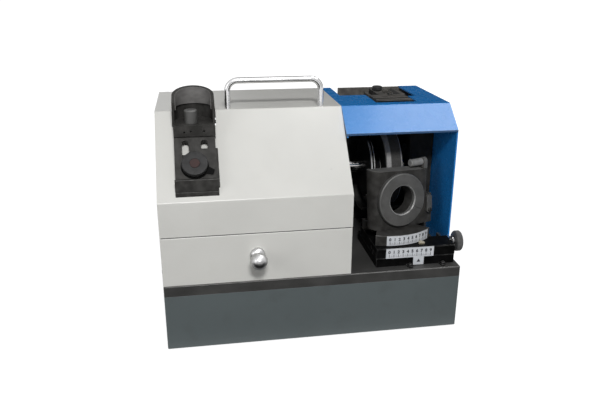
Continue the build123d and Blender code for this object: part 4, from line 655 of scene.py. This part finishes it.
# %% Nodes with their own finish
OWN_FINISH = {
    "cross_slide": "slide_black", "slide_base": "slide_black", "chuck_block": "block_steel",
    "setting_rail": "station_black", "setting_plate": "station_black", "setting_cradle": "trough_steel",
    "wheel_guard": "guard_black", "wheel_core": "flange_black", "wheel_flange": "flange_black",
    "clamp_flange": "flange_black", "rotor_shaft": "satin_chrome", "pawl_pin": "dark_screw",
    "stop_screw": "stop_grey", "screw_bracket": "bright_steel", "feed_dial": "dial_chrome",
    "port_slide": "port_grey", "port_bracket": "bracket_grey", "hood_back": "bracket_grey",
    "drawer_knob": "knob_chrome", "carry_handle": "handle_chrome",
}
print("nodes with a finish of their own:", len(OWN_FINISH))

# %% Soften
WELD = 0.002 * MM
FLAT = math.radians(0.6)


def soften(node, width, segments=2, corner=30.0):
    """Copy of a CAD node with its corners rounded by a width in millimetres."""
    source = frame["nodes"][node].data
    plain = bpy.data.meshes.new(node + "_plain")
    plain.from_pydata([v.co for v in source.vertices], [], [list(p.vertices) for p in source.polygons])
    shape = bmesh.new()
    shape.from_mesh(plain)
    bpy.data.meshes.remove(plain)
    wear_and_highlight = shape.faces.layers.float.new("edge")
    bmesh.ops.remove_doubles(shape, verts=shape.verts, dist=WELD)
    bmesh.ops.dissolve_limit(shape, angle_limit=FLAT, verts=shape.verts, edges=shape.edges)
    corners = [e for e in shape.edges if e.is_manifold and e.calc_face_angle() > math.radians(corner)]
    made = bmesh.ops.bevel(shape, geom=corners, offset=width * MM, segments=segments, profile=0.5,
                           affect="EDGES", clamp_overlap=True)
    for face in made["faces"]:
        face[wear_and_highlight] = 1.0
    open_edges = sum(not e.is_manifold for e in shape.edges)
    volume = shape.calc_volume() / MM ** 3
    print(f"{node}: {len(corners)} corners, {len(shape.faces)} faces,",
          f"{open_edges} open edges, {volume:.0f} mm3")
    own = finish_of[OWN_FINISH.get(node, slot_of[node])]
    return add_piece(node + ".soft", shape, body_of[node], slot_of[node], [node], own)


# %% Softened nodes
COVERS = {
    "base_box": (1.2, 3), "base_plate": (0.9, 2), "casing_shell": (0.35, 2), "casing_rear_panel": (0.3, 1),
    "drawer_front": (0.3, 2), "hood_shell": (0.5, 2), "hood_back": (0.4, 2),
}
GRINDING = {
    "slide_base": (0.5, 2), "cross_slide": (0.6, 2), "screw_bracket": (0.4, 2), "swivel_plate": (0.5, 2),
    "chuck_block": (0.8, 2), "chuck_ring": (0.6, 2), "index_pawl": (0.4, 2), "stop_screw": (0.4, 2),
    "scale_pointer": (0.3, 2), "mark_plate": (0.15, 1), "pawl_pin": (0.3, 2), "swivel_studs": (0.3, 2),
    "feed_dial": (0.3, 2), "wheel_guard": (0.4, 2), "wheel_flange": (0.5, 2), "clamp_flange": (0.4, 2),
    "spindle_nut": (0.4, 2), "rotor_shaft": (0.4, 2),
}
SETTING = {
    "setting_rail": (0.5, 2), "setting_plate": (0.5, 2), "setting_cradle": (0.5, 2), "setting_post": (0.3, 2),
    "rail_studs": (0.3, 2),
}
OTHERS = {
    "port_bracket": (0.5, 2), "port_slide": (0.5, 2), "power_inlet": (0.4, 2), "switch_housing": (0.4, 2),
    "switch_rocker": (0.5, 2), "handle_fixings": (0.4, 2), "carry_handle": (0.3, 2), "drawer_knob": (0.3, 2),
    "rubber_feet": (0.6, 2), "clamp_knob_cap": (0.4, 2),
}
for group in (COVERS, GRINDING, SETTING, OTHERS):
    for node, (width, segments) in group.items():
        soften(node, width, segments)

# %% [markdown]
# ## Turning with a profile
# Knobs and screws are lathe work: a profile of radius and height swept round an axis. Each point of the
# profile may carry a rim shape, a function of the angle that gives the share of the radius. A cosine makes
# the straight knurl of a thumb knob, and a hexagon turns the same sweep into a key socket.


# %% Lathe
def hexagon(angle):
    """Share of the corner radius on a hexagon's outline."""
    side = math.pi / 3
    return math.cos(side / 2) / math.cos((angle % side) - side / 2)


def knurl(teeth, depth):
    """Rim with rounded teeth, as a share of the radius."""
    return lambda angle: 1 - depth * (0.5 - 0.5 * math.cos(teeth * angle)) ** 2


def turn(profile, place, steps=48):
    """bmesh of (radius, height, rim) points in millimetres, swept about Z and put in place."""
    shape = bmesh.new()
    rings = []
    for radius, height, *rim in profile:
        if radius == 0:
            rings.append([shape.verts.new((0, 0, height * MM))])
            continue
        ring = []
        for k in range(steps):
            angle = 2 * math.pi * k / steps
            r = radius * MM * (rim[0](angle) if rim else 1.0)
            ring.append(shape.verts.new((r * math.cos(angle), r * math.sin(angle), height * MM)))
        rings.append(ring)
    for low, high in zip(rings, rings[1:]):
        for k in range(steps):
            after = k + 1
            corners = [low[k % len(low)], low[after % len(low)], high[after % len(high)], high[k % len(high)]]
            shape.faces.new(list(dict.fromkeys(corners)))
    bmesh.ops.transform(shape, matrix=place, verts=shape.verts)
    return shape


# %% [markdown]
# ## Three knurled knobs
# The clamp knob of the setting station is a broad round knob that is turned with the palm, so its knurl is
# coarse. The feed knob and the small knob of the roof port are turned with two fingers and have a fine
# straight knurl between two plain bands. Each stands on the axis of its own hinge, which the frame gives.

# %% Clamp knob
clamp = hinge_of["setting_clamp_turn"]
coarse = knurl(44, 0.030)
clamp_profile = [
    (0, 0), (10.0, 0), (10.0, 2.5), (14.4, 2.5), (15.6, 3.1), (16.2, 4.2, coarse), (16.2, 8.0, coarse),
    (16.0, 9.0, coarse), (15.5, 9.7), (14.7, 10.0), (7.2, 10.0), (6.5, 9.7), (6.05, 9.4), (6.05, 8.5),
    (0, 8.5),
]
clamp_low = min((Vector(v.co) - Vector(clamp["pos_m"])).dot(Vector(clamp["axis"]))
                for v in frame["nodes"]["clamp_knob"].data.vertices)
seat = Vector(clamp["pos_m"]) + clamp_low * Vector(clamp["axis"])
add_piece("clamp_knob.knurled", turn(clamp_profile, facing(clamp["axis"], seat), 352),
          "setting_clamp", "black_plastic", ["clamp_knob"])
print("clamp seat", [round(c / MM, 1) for c in seat])

# %% Feed knob and port knob
feed = hinge_of["feed_turn"]
fine = knurl(64, 0.035)
feed_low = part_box("feed_knob")[0].x / MM
feed_profile = [
    (0, 0), (8.0, 0), (12.9, 0.2), (13.6, 0.9), (13.9, 1.4), (14.5, 1.9, fine), (14.5, 7.6, fine),
    (13.9, 8.2), (13.5, 8.8), (12.6, 9.3), (11.2, 9.45), (10.8, 8.9), (4.6, 8.6), (4.0, 9.2), (0, 9.2),
]
feed_seat = Vector((feed_low * MM, feed["pos_m"][1], feed["pos_m"][2]))
add_piece("feed_knob.knurled", turn(feed_profile, facing((1, 0, 0), feed_seat), 384),
          "feed", "black_plastic", ["feed_knob"], finish_of["feed_plastic"])

port = hinge_of["port_clamp_turn"]
port_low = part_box("port_knob")[0]
small = knurl(36, 0.05)
port_profile = [
    (0, 0), (6.6, 0), (7.2, 0.6), (7.5, 1.2, small), (7.5, 5.0, small), (7.1, 5.8), (6.3, 6.4), (3.6, 6.5),
    (3.2, 6.1), (0, 6.1),
]
port_seat = Vector((port["pos_m"][0], port["pos_m"][1], port_low.z))
add_piece("port_knob.knurled", turn(port_profile, facing((0, 0, 1), port_seat), 216),
          "port_clamp", "black_plastic", ["port_knob"])
print("feed knob from x", round(feed_low, 1), "port knob from z", round(port_low.z / MM, 1))

# %% [markdown]
# ## Socket screws
# The covers and the slide base are held by socket screws: a round head with a hexagon hole for a key. The
# CAD screws are plain, so each is replaced. Every loose part of the CAD node gives one screw's place and
# length. The cover's screws point outwards and those of the slide base upwards.


# %% Places of the screws
def loose_parts(node):
    """Lowest and highest corners of each separate solid of a node."""
    shape = bmesh.new()
    shape.from_mesh(frame["nodes"][node].data)
    bmesh.ops.remove_doubles(shape, verts=shape.verts, dist=WELD)
    left = set(shape.verts)
    boxes = []
    while left:
        found, todo = set(), [left.pop()]
        while todo:
            vert = todo.pop()
            found.add(vert.co.copy().freeze())
            for edge in vert.link_edges:
                other = edge.other_vert(vert)
                if other in left:
                    left.remove(other)
                    todo.append(other)
        low = Vector(map(min, zip(*found)))
        high = Vector(map(max, zip(*found)))
        boxes.append((low, high))
    shape.free()
    return sorted(boxes, key=lambda pair: tuple(pair[0]))


# %% Screws
def socket_screw(head_r, head_t, shank_r, shank_l, key_r):
    """Profile of a socket screw that stands on its head's underside."""
    c = 0.16 * head_t
    return [
        (0, -shank_l), (shank_r, -shank_l), (shank_r, 0), (head_r, 0), (head_r, head_t - 2 * c),
        (head_r - 0.4 * c, head_t - c), (head_r - 1.6 * c, head_t), (key_r + 0.35, head_t),
        (key_r + 0.1, head_t - 0.15, hexagon), (key_r, head_t - 0.3, hexagon),
        (key_r, head_t * 0.35, hexagon), (0, head_t * 0.35),
    ]


def screws(node, axis_of, head_r, head_t, shank_r, key_r):
    """Socket screws in place of a node's plain ones."""
    whole = bmesh.new()
    places = loose_parts(node)
    for low, high in places:
        middle = (low + high) / 2
        axis = axis_of(middle)
        length = abs((high - low).dot(axis)) / MM
        under = middle + axis * ((length / 2 - head_t) * MM)
        one = turn(socket_screw(head_r, head_t, shank_r, length - head_t, key_r), facing(axis, under), 48)
        part = bpy.data.meshes.new("screw")
        one.to_mesh(part)
        one.free()
        whole.from_mesh(part)
        bpy.data.meshes.remove(part)
    print(node, "screws", len(places))
    return add_piece(node + ".socket", whole, body_of[node], slot_of[node], [node])


def outward(middle):
    """Left or right, away from the machine's middle."""
    return Vector((math.copysign(1.0, middle.x), 0, 0))


def upward(middle):
    """Straight up."""
    return Vector((0, 0, 1))


screws("cover_screws", outward, head_r=4.0, head_t=2.2, shank_r=2.0, key_r=1.5)
screws("slide_base_screws", upward, head_r=2.9, head_t=3.2, shank_r=1.6, key_r=1.5)

# %% [markdown]
# ## Tab washer under the clamp knob
# Between the clamp knob and the sliding plate lies a black washer, a little wider than the knob, with a tab
# that points to the right and slightly down. Its near-black rim and tab also serve as painted shade for the
# dark crescents of shadow around the knob's foot. It stays with the stud while the plate slides under it.

# %% Tab washer
WASHER = [(10.5, 0.3), (17.1, 0.3), (17.3, 0.6), (17.1, 1.3), (10.5, 1.3), (10.5, 0.3)]
TAB = [(16.0, -5.0), (24.4, -3.4), (24.8, 0.0), (24.4, 3.4), (16.0, 5.0)]
TAB_UP = (0.4, 1.2)
TAB_TURN = math.radians(-22)
knob_frame = facing(clamp["axis"], seat)
washer = turn(WASHER, knob_frame, 96)
bmesh.ops.remove_doubles(washer, verts=washer.verts, dist=WELD / 2)
tab_frame = knob_frame @ Matrix.Rotation(TAB_TURN, 4, "Z")
under, over = ([washer.verts.new(tab_frame @ (Vector((x, y, z)) * MM)) for x, y in TAB] for z in TAB_UP)
for k in range(len(TAB)):
    washer.faces.new((under[k - 1], under[k], over[k], over[k - 1]))
washer.faces.new(under)
washer.faces.new(over)
print("washer open edges", sum(not e.is_manifold for e in washer.edges))
# The near-black washer and tab also stand in for the shadow crescents around the knob's foot: painted shade.
add_piece("clamp_washer_shade", washer, "frame", "dark_screw", material=finish_of["slide_black"])
print("washer tab turned", round(math.degrees(TAB_TURN)), "degrees")

# %% [markdown]
# ## Scales
# A straight scale on the cross slide reads the feed, and a curved one on the rim of the swivel reads the
# angle. Both are first laid out flat, in millimetres across, up and out, and then every vertex is carried to
# its place: straight onto the slide's front, round the swivel's rim, or round the feed dial. The same marks
# therefore serve a flat plate and a cylinder. The numbers are plain figures from Blender's own font.


# %% Flat layout
def block(shape, across, up, out, columns=1):
    """Box from ranges, divided across so that it can be bent."""
    rows = []
    for k in range(columns + 1):
        u = across[0] + (across[1] - across[0]) * k / columns
        rows.append([shape.verts.new((u, v, w)) for v, w in
                     ((up[0], out[0]), (up[0], out[1]), (up[1], out[1]), (up[1], out[0]))])
    for near, far in zip(rows, rows[1:]):
        for k in range(4):
            shape.faces.new((near[k], near[(k + 1) % 4], far[(k + 1) % 4], far[k]))
    shape.faces.new(rows[0])
    shape.faces.new(rows[-1])


FIGURE_SIZE = 1.4
FIGURE_THICK = 0.05
FIGURE_BOLD = 0.06
figure_meshes = {}


def figure(shape, text, across, up, tall, out):
    """Adds a number, centred at a place."""
    if text not in figure_meshes:
        words = bpy.data.curves.new("figure", "FONT")
        words.body = text
        words.align_x = "CENTER"
        words.resolution_u = 3
        words.size = FIGURE_SIZE
        words.extrude = FIGURE_THICK
        words.offset = FIGURE_BOLD
        holder = bpy.data.objects.new("figure", words)
        bpy.context.scene.collection.objects.link(holder)
        bpy.context.view_layer.update()
        ready = holder.evaluated_get(bpy.context.evaluated_depsgraph_get())
        figure_meshes[text] = bpy.data.meshes.new_from_object(ready)
        bpy.data.objects.remove(holder)
    first = len(shape.verts)
    shape.from_mesh(figure_meshes[text])
    shape.verts.ensure_lookup_table()
    for vert in shape.verts[first:]:
        u, v, w = vert.co
        vert.co = (across + u * tall, up + v * tall, out + w)


SAME = 0.0001


def carry(shape, wrap):
    """Moves a flat layout to its place on the machine."""
    bmesh.ops.remove_doubles(shape, verts=shape.verts, dist=SAME)
    for vert in shape.verts:
        vert.co = wrap(*vert.co) * MM


# %% Film with print
FILM, INK = 0.35, 0.05
MARGIN = 0.7
THICK, THIN = 0.34, 0.14
TICK_FOOT = 0.10
MINOR_TICKS = (0.25, 0.22), (0.5, 0.30), (0.75, 0.22)


def tick(marks, u, half, tall, top):
    """Adds a printed line up to a share of the film's height."""
    block(marks, (u - half, u + half), (tall * TICK_FOOT, tall * top), (FILM - INK, FILM + INK))


def scale(name, body, length, tall, count, wrap, columns):
    """White film with a row of numbers over a row of ticks."""
    film = bmesh.new()
    block(film, (0, length), (0, tall), (0, FILM), columns)
    carry(film, wrap)
    add_piece(name + ".film", film, body, "plate_white")
    marks = bmesh.new()
    pitch = length / (count - 1 + 2 * MARGIN)
    for k in range(count):
        u = pitch * (k + MARGIN)
        figure(marks, str(k), u, tall * 0.50, tall * 0.30, FILM + INK)
        tick(marks, u, THICK, tall, 0.40)
        if k < count - 1:
            for share, top in MINOR_TICKS:
                tick(marks, u + pitch * share, THIN, tall, top)
    carry(marks, wrap)
    print(name, "marks", len(marks.faces))
    add_piece(name + ".marks", marks, body, material=ink)


# %% Straight scale and swivel scale
slide_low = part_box("cross_slide")[0]
SLIDE_SCALE = (97.0, 164.6)
slide_front = slide_low.y / MM
slide_foot = slide_low.z / MM


def onto_slide(u, v, w):
    return Vector((SLIDE_SCALE[0] + u, slide_front - w, slide_foot + v))


scale("feed_scale", "slide", SLIDE_SCALE[1] - SLIDE_SCALE[0], 14.3, 10, onto_slide, 1)

swivel = hinge_of["swivel_turn"]["pos_m"]
swivel_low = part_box("swivel_plate")[0]
RIM = 79.0
RIM_FOOT = 0.3
RIM_START = math.radians(-9.5)
RIM_SWEEP = math.radians(49.5)


def onto_rim(u, v, w):
    angle = RIM_START + u / RIM
    return Vector((swivel[0] / MM + (RIM + w) * math.sin(angle), swivel[1] / MM - (RIM + w) * math.cos(angle),
                   swivel_low.z / MM + RIM_FOOT + v))


scale("angle_scale", "swivel", RIM * RIM_SWEEP, 13.9, 10, onto_rim, 36)

# %% [markdown]
# ## Marks on the dial and the mark plate
# The feed dial is engraved with twenty lines, every fifth one longer. The white mark plate under the slide
# carries a triangle that points at the straight scale.

# %% Dial lines
dial_low, dial_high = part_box("feed_dial")
DIAL_R = (dial_high.y - dial_low.y) / 2 / MM
DIAL_LINES = 20
lines = bmesh.new()
for k in range(DIAL_LINES):
    u = 2 * math.pi * DIAL_R * k / DIAL_LINES
    block(lines, (u - THIN, u + THIN), (0.5, 3.3 if k % 5 == 0 else 2.2), (-0.05, 0.04))


def onto_dial(u, v, w):
    angle = u / DIAL_R
    return Vector((dial_low.x / MM + v, feed["pos_m"][1] / MM + (DIAL_R + w) * math.cos(angle),
                   feed["pos_m"][2] / MM + (DIAL_R + w) * math.sin(angle)))


carry(lines, onto_dial)
add_piece("feed_dial.lines", lines, "feed", material=ink)
print("dial radius", round(DIAL_R, 2), "lines", DIAL_LINES)

# %% Mark triangle
mark_low, mark_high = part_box("mark_plate")
ARROW = (-2.7, 4.2), (2.7, 4.2), (0.0, 8.8)
arrow = bmesh.new()
for w in (-0.05, 0.08):
    for u, v in ARROW:
        arrow.verts.new((u, v, w))
arrow.verts.ensure_lookup_table()
for corners in ((0, 1, 2), (3, 4, 5), (0, 1, 4, 3), (1, 2, 5, 4), (2, 0, 3, 5)):
    arrow.faces.new([arrow.verts[k] for k in corners])


def onto_mark(u, v, w):
    return Vector(((mark_low.x + mark_high.x) / 2 / MM + u, mark_low.y / MM - w, mark_low.z / MM + v))


carry(arrow, onto_mark)
add_piece("mark_plate.arrow", arrow, "frame", material=ink)
print("arrow points to z", round(mark_low.z / MM + ARROW[2][1], 1))

# %% [markdown]
# ## Dark strip over the drawer
# A flat black rubber strip sits under the casing's front edge, a dark sheet put in the gap as painted shade.
# From outside it shows only as the dark line between the two white sheets.

# %% Drawer gap shade
drawer_low, drawer_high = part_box("drawer_front")
GAP_SHADE = (0.15, 1.25)
GAP_SHADE_DEEP = (0.4, 9.0)
GAP_SHADE_INSET = 1.5


def onto_seam(u, v, w):
    return Vector((drawer_low.x / MM + u, drawer_low.y / MM + v, drawer_high.z / MM + w))


# Painted shade: a black strip put in the gap where the line between the two sheets is in shadow.
gap_shade = bmesh.new()
block(gap_shade, (GAP_SHADE_INSET, (drawer_high.x - drawer_low.x) / MM - GAP_SHADE_INSET), GAP_SHADE_DEEP, GAP_SHADE)
carry(gap_shade, onto_seam)
add_piece("drawer_gap_shade", gap_shade, "frame", "rubber")
print("seal from z", round(drawer_high.z / MM + GAP_SHADE[0], 2), "to", round(drawer_high.z / MM + GAP_SHADE[1], 2))

# %% [markdown]
# ## Rubber strip behind the wheel
# The back plate under the hood stops short of the casing, so that the hood lifts off. A ribbed rubber strip
# on the plate's edge closes that gap against dust. It ends below the roof, where the cut-out stays open.

# %% Rear strip
back_low, back_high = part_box("hood_back")
STRIP_ACROSS = (-25.9, 9.0)
STRIP_UP = (1.5, 188.0)
RIBS = (-22.0, -16.0, -10.0, -4.0, 3.0)
RIB_HALF = 0.8


def onto_back(u, v, w):
    return Vector((back_low.x / MM + u, back_high.y / MM + w, back_low.z / MM + v))


strip = bmesh.new()
block(strip, STRIP_ACROSS, STRIP_UP, (0.0, 1.2))
for u in RIBS:
    block(strip, (u - RIB_HALF, u + RIB_HALF), STRIP_UP, (1.0, 1.9))
carry(strip, onto_back)
add_piece("rear_strip", strip, "frame", "rubber")
print("strip from x", round(back_low.x / MM + STRIP_ACROSS[0], 1), "with", len(RIBS), "ribs")

# %% [markdown]
# ## Ridges and stop screws on the roof port
# The slide in the roof cut-out carries four low ridges for a finger to push against and two black stop screws
# of different height. They are laid out like the scales, in millimetres across, along and up.

# %% Port fittings
PORT_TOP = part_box("port_slide")[1].z / MM
RIDGES = (129.5, 132.7, 135.9, 139.1)
RIDGE_HALF = 0.7
RIDGE_ALONG = (41.0, 60.0)
STOPS = ("port_stop_low", 135.6, 1.7, 2.2), ("port_stop_high", 130.6, 1.2, 4.2)
STOP_DEPTH = 33.0


def onto_port(u, v, w):
    return Vector((u, v, PORT_TOP + w))


ridges = bmesh.new()
for x in RIDGES:
    block(ridges, (x - RIDGE_HALF, x + RIDGE_HALF), RIDGE_ALONG, (-0.2, 1.5))
carry(ridges, onto_port)
add_piece("port_ridges", ridges, "port_rest", "black_steel", material=finish_of["bracket_grey"])
for name, x, radius, tall in STOPS:
    profile = socket_screw(radius, tall, radius * 0.7, 0.4, radius * 0.5)
    stop_frame = facing((0, 0, 1), onto_port(x, STOP_DEPTH, 0.0) * MM)
    add_piece(name, turn(profile, stop_frame, 48), "port_rest", "dark_screw")
print("port top at z", round(PORT_TOP, 1))

# %% [markdown]
# ## Nodes that stay as they are
# The motor, the drawer tray, the wheel and the small inner pieces keep their CAD meshes. They only change
# their material, so that whatever an opening shows is finished too.

# %% Paint the rest
for node, piece in frame["nodes"].items():
    for place in piece.material_slots:
        place.material = finish_of[OWN_FINISH.get(node, slot_of[node])]
print("painted", len(frame["nodes"]), "nodes")

# %% [markdown]
# ## Floor, world and lamps
# A product photograph on white needs a white ground that still takes a shadow. The floor is a pale diffuse
# plane that also glows, but only for rays from the camera, a mirror or glass, so it doesn't light the
# machine. The world does the same, and gives diffuse surfaces a weak, even light. In an all-white room,
# though, chrome and black steel look like chalk. A studio hangs black cloth where dark reflections are
# wanted, and so does this one: on the floor before the machine, behind it to the right and, thinner, behind
# the camera. Only mirrors see the cloth. One softbox in front and above lights the sloping panel most, then
# the front, then the roof. Weaker ones from the left and from behind open the shadows, and two bright cards
# overhead show in gloss alone.

# %% Studio helpers
SEES_WHITE = "Camera", "Glossy", "Transmission"


def stage_sheet(name, size, place, tilt=0.0):
    """Rectangle that belongs to the studio, lying flat or tilted up about X."""
    shape = bmesh.new()
    bmesh.ops.create_grid(shape, x_segments=2, y_segments=2, size=1.0)
    resize = Matrix.Diagonal((size[0] / 2, size[1] / 2, 1.0, 1.0))
    bmesh.ops.transform(shape, matrix=Matrix.Translation(place) @ Matrix.Rotation(tilt, 4, "X") @ resize,
                        verts=shape.verts)
    mesh = bpy.data.meshes.new(name)
    shape.to_mesh(mesh)
    shape.free()
    mesh.materials.append(bpy.data.materials.new(name))
    mesh.materials[0].use_nodes = True
    mesh.materials[0].node_tree.nodes.clear()
    sheet = bpy.data.objects.new(name, mesh)
    bpy.context.scene.collection.objects.link(sheet)
    return sheet, Wire(mesh.materials[0].node_tree)


def seen(start, *kinds):
    """1 for rays of the named kinds, 0 for all others."""
    rays = [start.node("LightPath", out=f"Is {kind} Ray") for kind in kinds]
    return start.math("MINIMUM", sum(rays[1:], rays[0]), 1.0)


# %% Floor
FLOOR_WIDE = 40.0
FLOOR_GREY = 0.36
NEAR, FAR = 0.35, 1.1
NEAR_GLOW, FAR_GLOW = 0.89, 1.03
start = stage_sheet("floor", (FLOOR_WIDE, FLOOR_WIDE), (0.0, 0.0, 0.0))[1]
where = start.node("TexCoord", out="Object")
far = start.node("VectorMath", {"operation": "LENGTH"}, {0: where}, out="Value").between(NEAR, FAR)
matt = start.node("BsdfDiffuse", None, {"Color": (FLOOR_GREY, FLOOR_GREY, FLOOR_GREY, 1.0)})
bright = far.blend((NEAR_GLOW,) * 3, (FAR_GLOW,) * 3)
glow = seen(start, *SEES_WHITE).blend((0.0,) * 3, bright)
glow = start.node("Emission", None, {"Color": glow, "Strength": 1.0})
start.node("OutputMaterial", None, {"Surface": start.node("AddShader", None, {0: matt, 1: glow})})
print("floor", FLOOR_WIDE, "m wide")

# %% World
AMBIENT = (0.14, 0.14, 0.142)
world = bpy.data.worlds.new("studio")
bpy.context.scene.world = world
world.use_nodes = True
world.node_tree.nodes.clear()
start = Wire(world.node_tree)
sky = seen(start, *SEES_WHITE).blend(AMBIENT, (1.0, 1.0, 1.0))
start.node("OutputWorld", None, {"Surface": start.node("Background", None, {"Color": sky, "Strength": 1.0})})
print("world nodes", len(world.node_tree.nodes))


# %% Black cloth
def black_cloth(name, size, place, tilt, cover):
    """Cloth that only mirrors see; `cover` turns a place into the cloth's density."""
    cloth, start = stage_sheet(name, size, place, tilt)
    cloth.visible_camera = cloth.visible_diffuse = cloth.visible_transmission = cloth.visible_shadow = False
    density = cover(*place_of(start))
    black = start.node("BsdfDiffuse", None, {"Color": (0.0, 0.0, 0.0, 1.0)})
    gap = start.node("BsdfTransparent")
    woven = start.node("MixShader", None, {0: density, 1: gap, 2: black})
    start.node("OutputMaterial", None, {"Surface": woven})
    print(name, "cloth", size, "m")


def before_base(x, y, z):
    """Full before the base's front, clear a metre away."""
    return (1 - y.between(-0.15, -0.10)) * y.between(-1.10, -0.90)


def behind_hood(x, y, z):
    """Full behind the hood and thinner to the left, clear near the floor and high up."""
    return (0.34 + 0.66 * x.between(-0.22, 0.15)) * z.between(0.34, 0.50) * (1 - z.between(1.8, 6.4))


def behind_camera(x, y, z):
    """Thin, and thinner upwards."""
    return 0.62 * (1 - z.between(0.3, 2.4))


UPRIGHT = math.pi / 2
black_cloth("cloth_floor", (3.0, 1.0), (0.0, -0.605, 0.002), 0.0, before_base)
black_cloth("cloth_rear", (24.0, 6.2), (0.0, 2.0, 3.4), UPRIGHT, behind_hood)
black_cloth("cloth_camera", (20.0, 2.4), (0.0, -3.0, 1.2), UPRIGHT, behind_camera)

# %% Lamps
AIM = Vector((0.0, -0.02, 0.2))


def softbox(name, direction, distance, wide, tall, radiance, lights=True, shows=True):
    """Area lamp of a given brightness that faces the machine, and lights it, shows in its gloss, or both."""
    data = bpy.data.lights.new(name, "AREA")
    data.shape = "RECTANGLE"
    data.size = wide
    data.size_y = tall
    data.energy = radiance * math.pi * wide * tall
    lamp = bpy.data.objects.new(name, data)
    bpy.context.scene.collection.objects.link(lamp)
    towards = Vector(direction).normalized()
    lamp.location = AIM + towards * distance
    lamp.rotation_euler = towards.to_track_quat("Z", "Y").to_euler()
    lamp.visible_diffuse = lights
    lamp.visible_glossy = shows
    print(name, "at", [round(c, 2) for c in lamp.location], "power", round(data.energy, 1))


softbox("key_softbox", (-0.05, -0.765, 0.64), 2.0, 0.42, 0.30, 57.0)
softbox("left_softbox", (-0.74, -0.60, 0.30), 1.8, 0.8, 0.8, 1.8)
softbox("rear_softbox", (0.72, 0.58, 0.38), 2.4, 1.6, 0.6, 4.4, shows=False)
softbox("gloss_card", (0.50, 0.02, 0.865), 1.6, 0.65, 0.7, 4.8, lights=False)
softbox("slope_card", (0.20, -0.27, 0.94), 1.6, 0.45, 0.40, 4.4, lights=False)

# %% [markdown] ## Last steps Standard view keeps a colour as it is written.

# %% Finish
bpy.context.scene.view_settings.view_transform = "Standard"
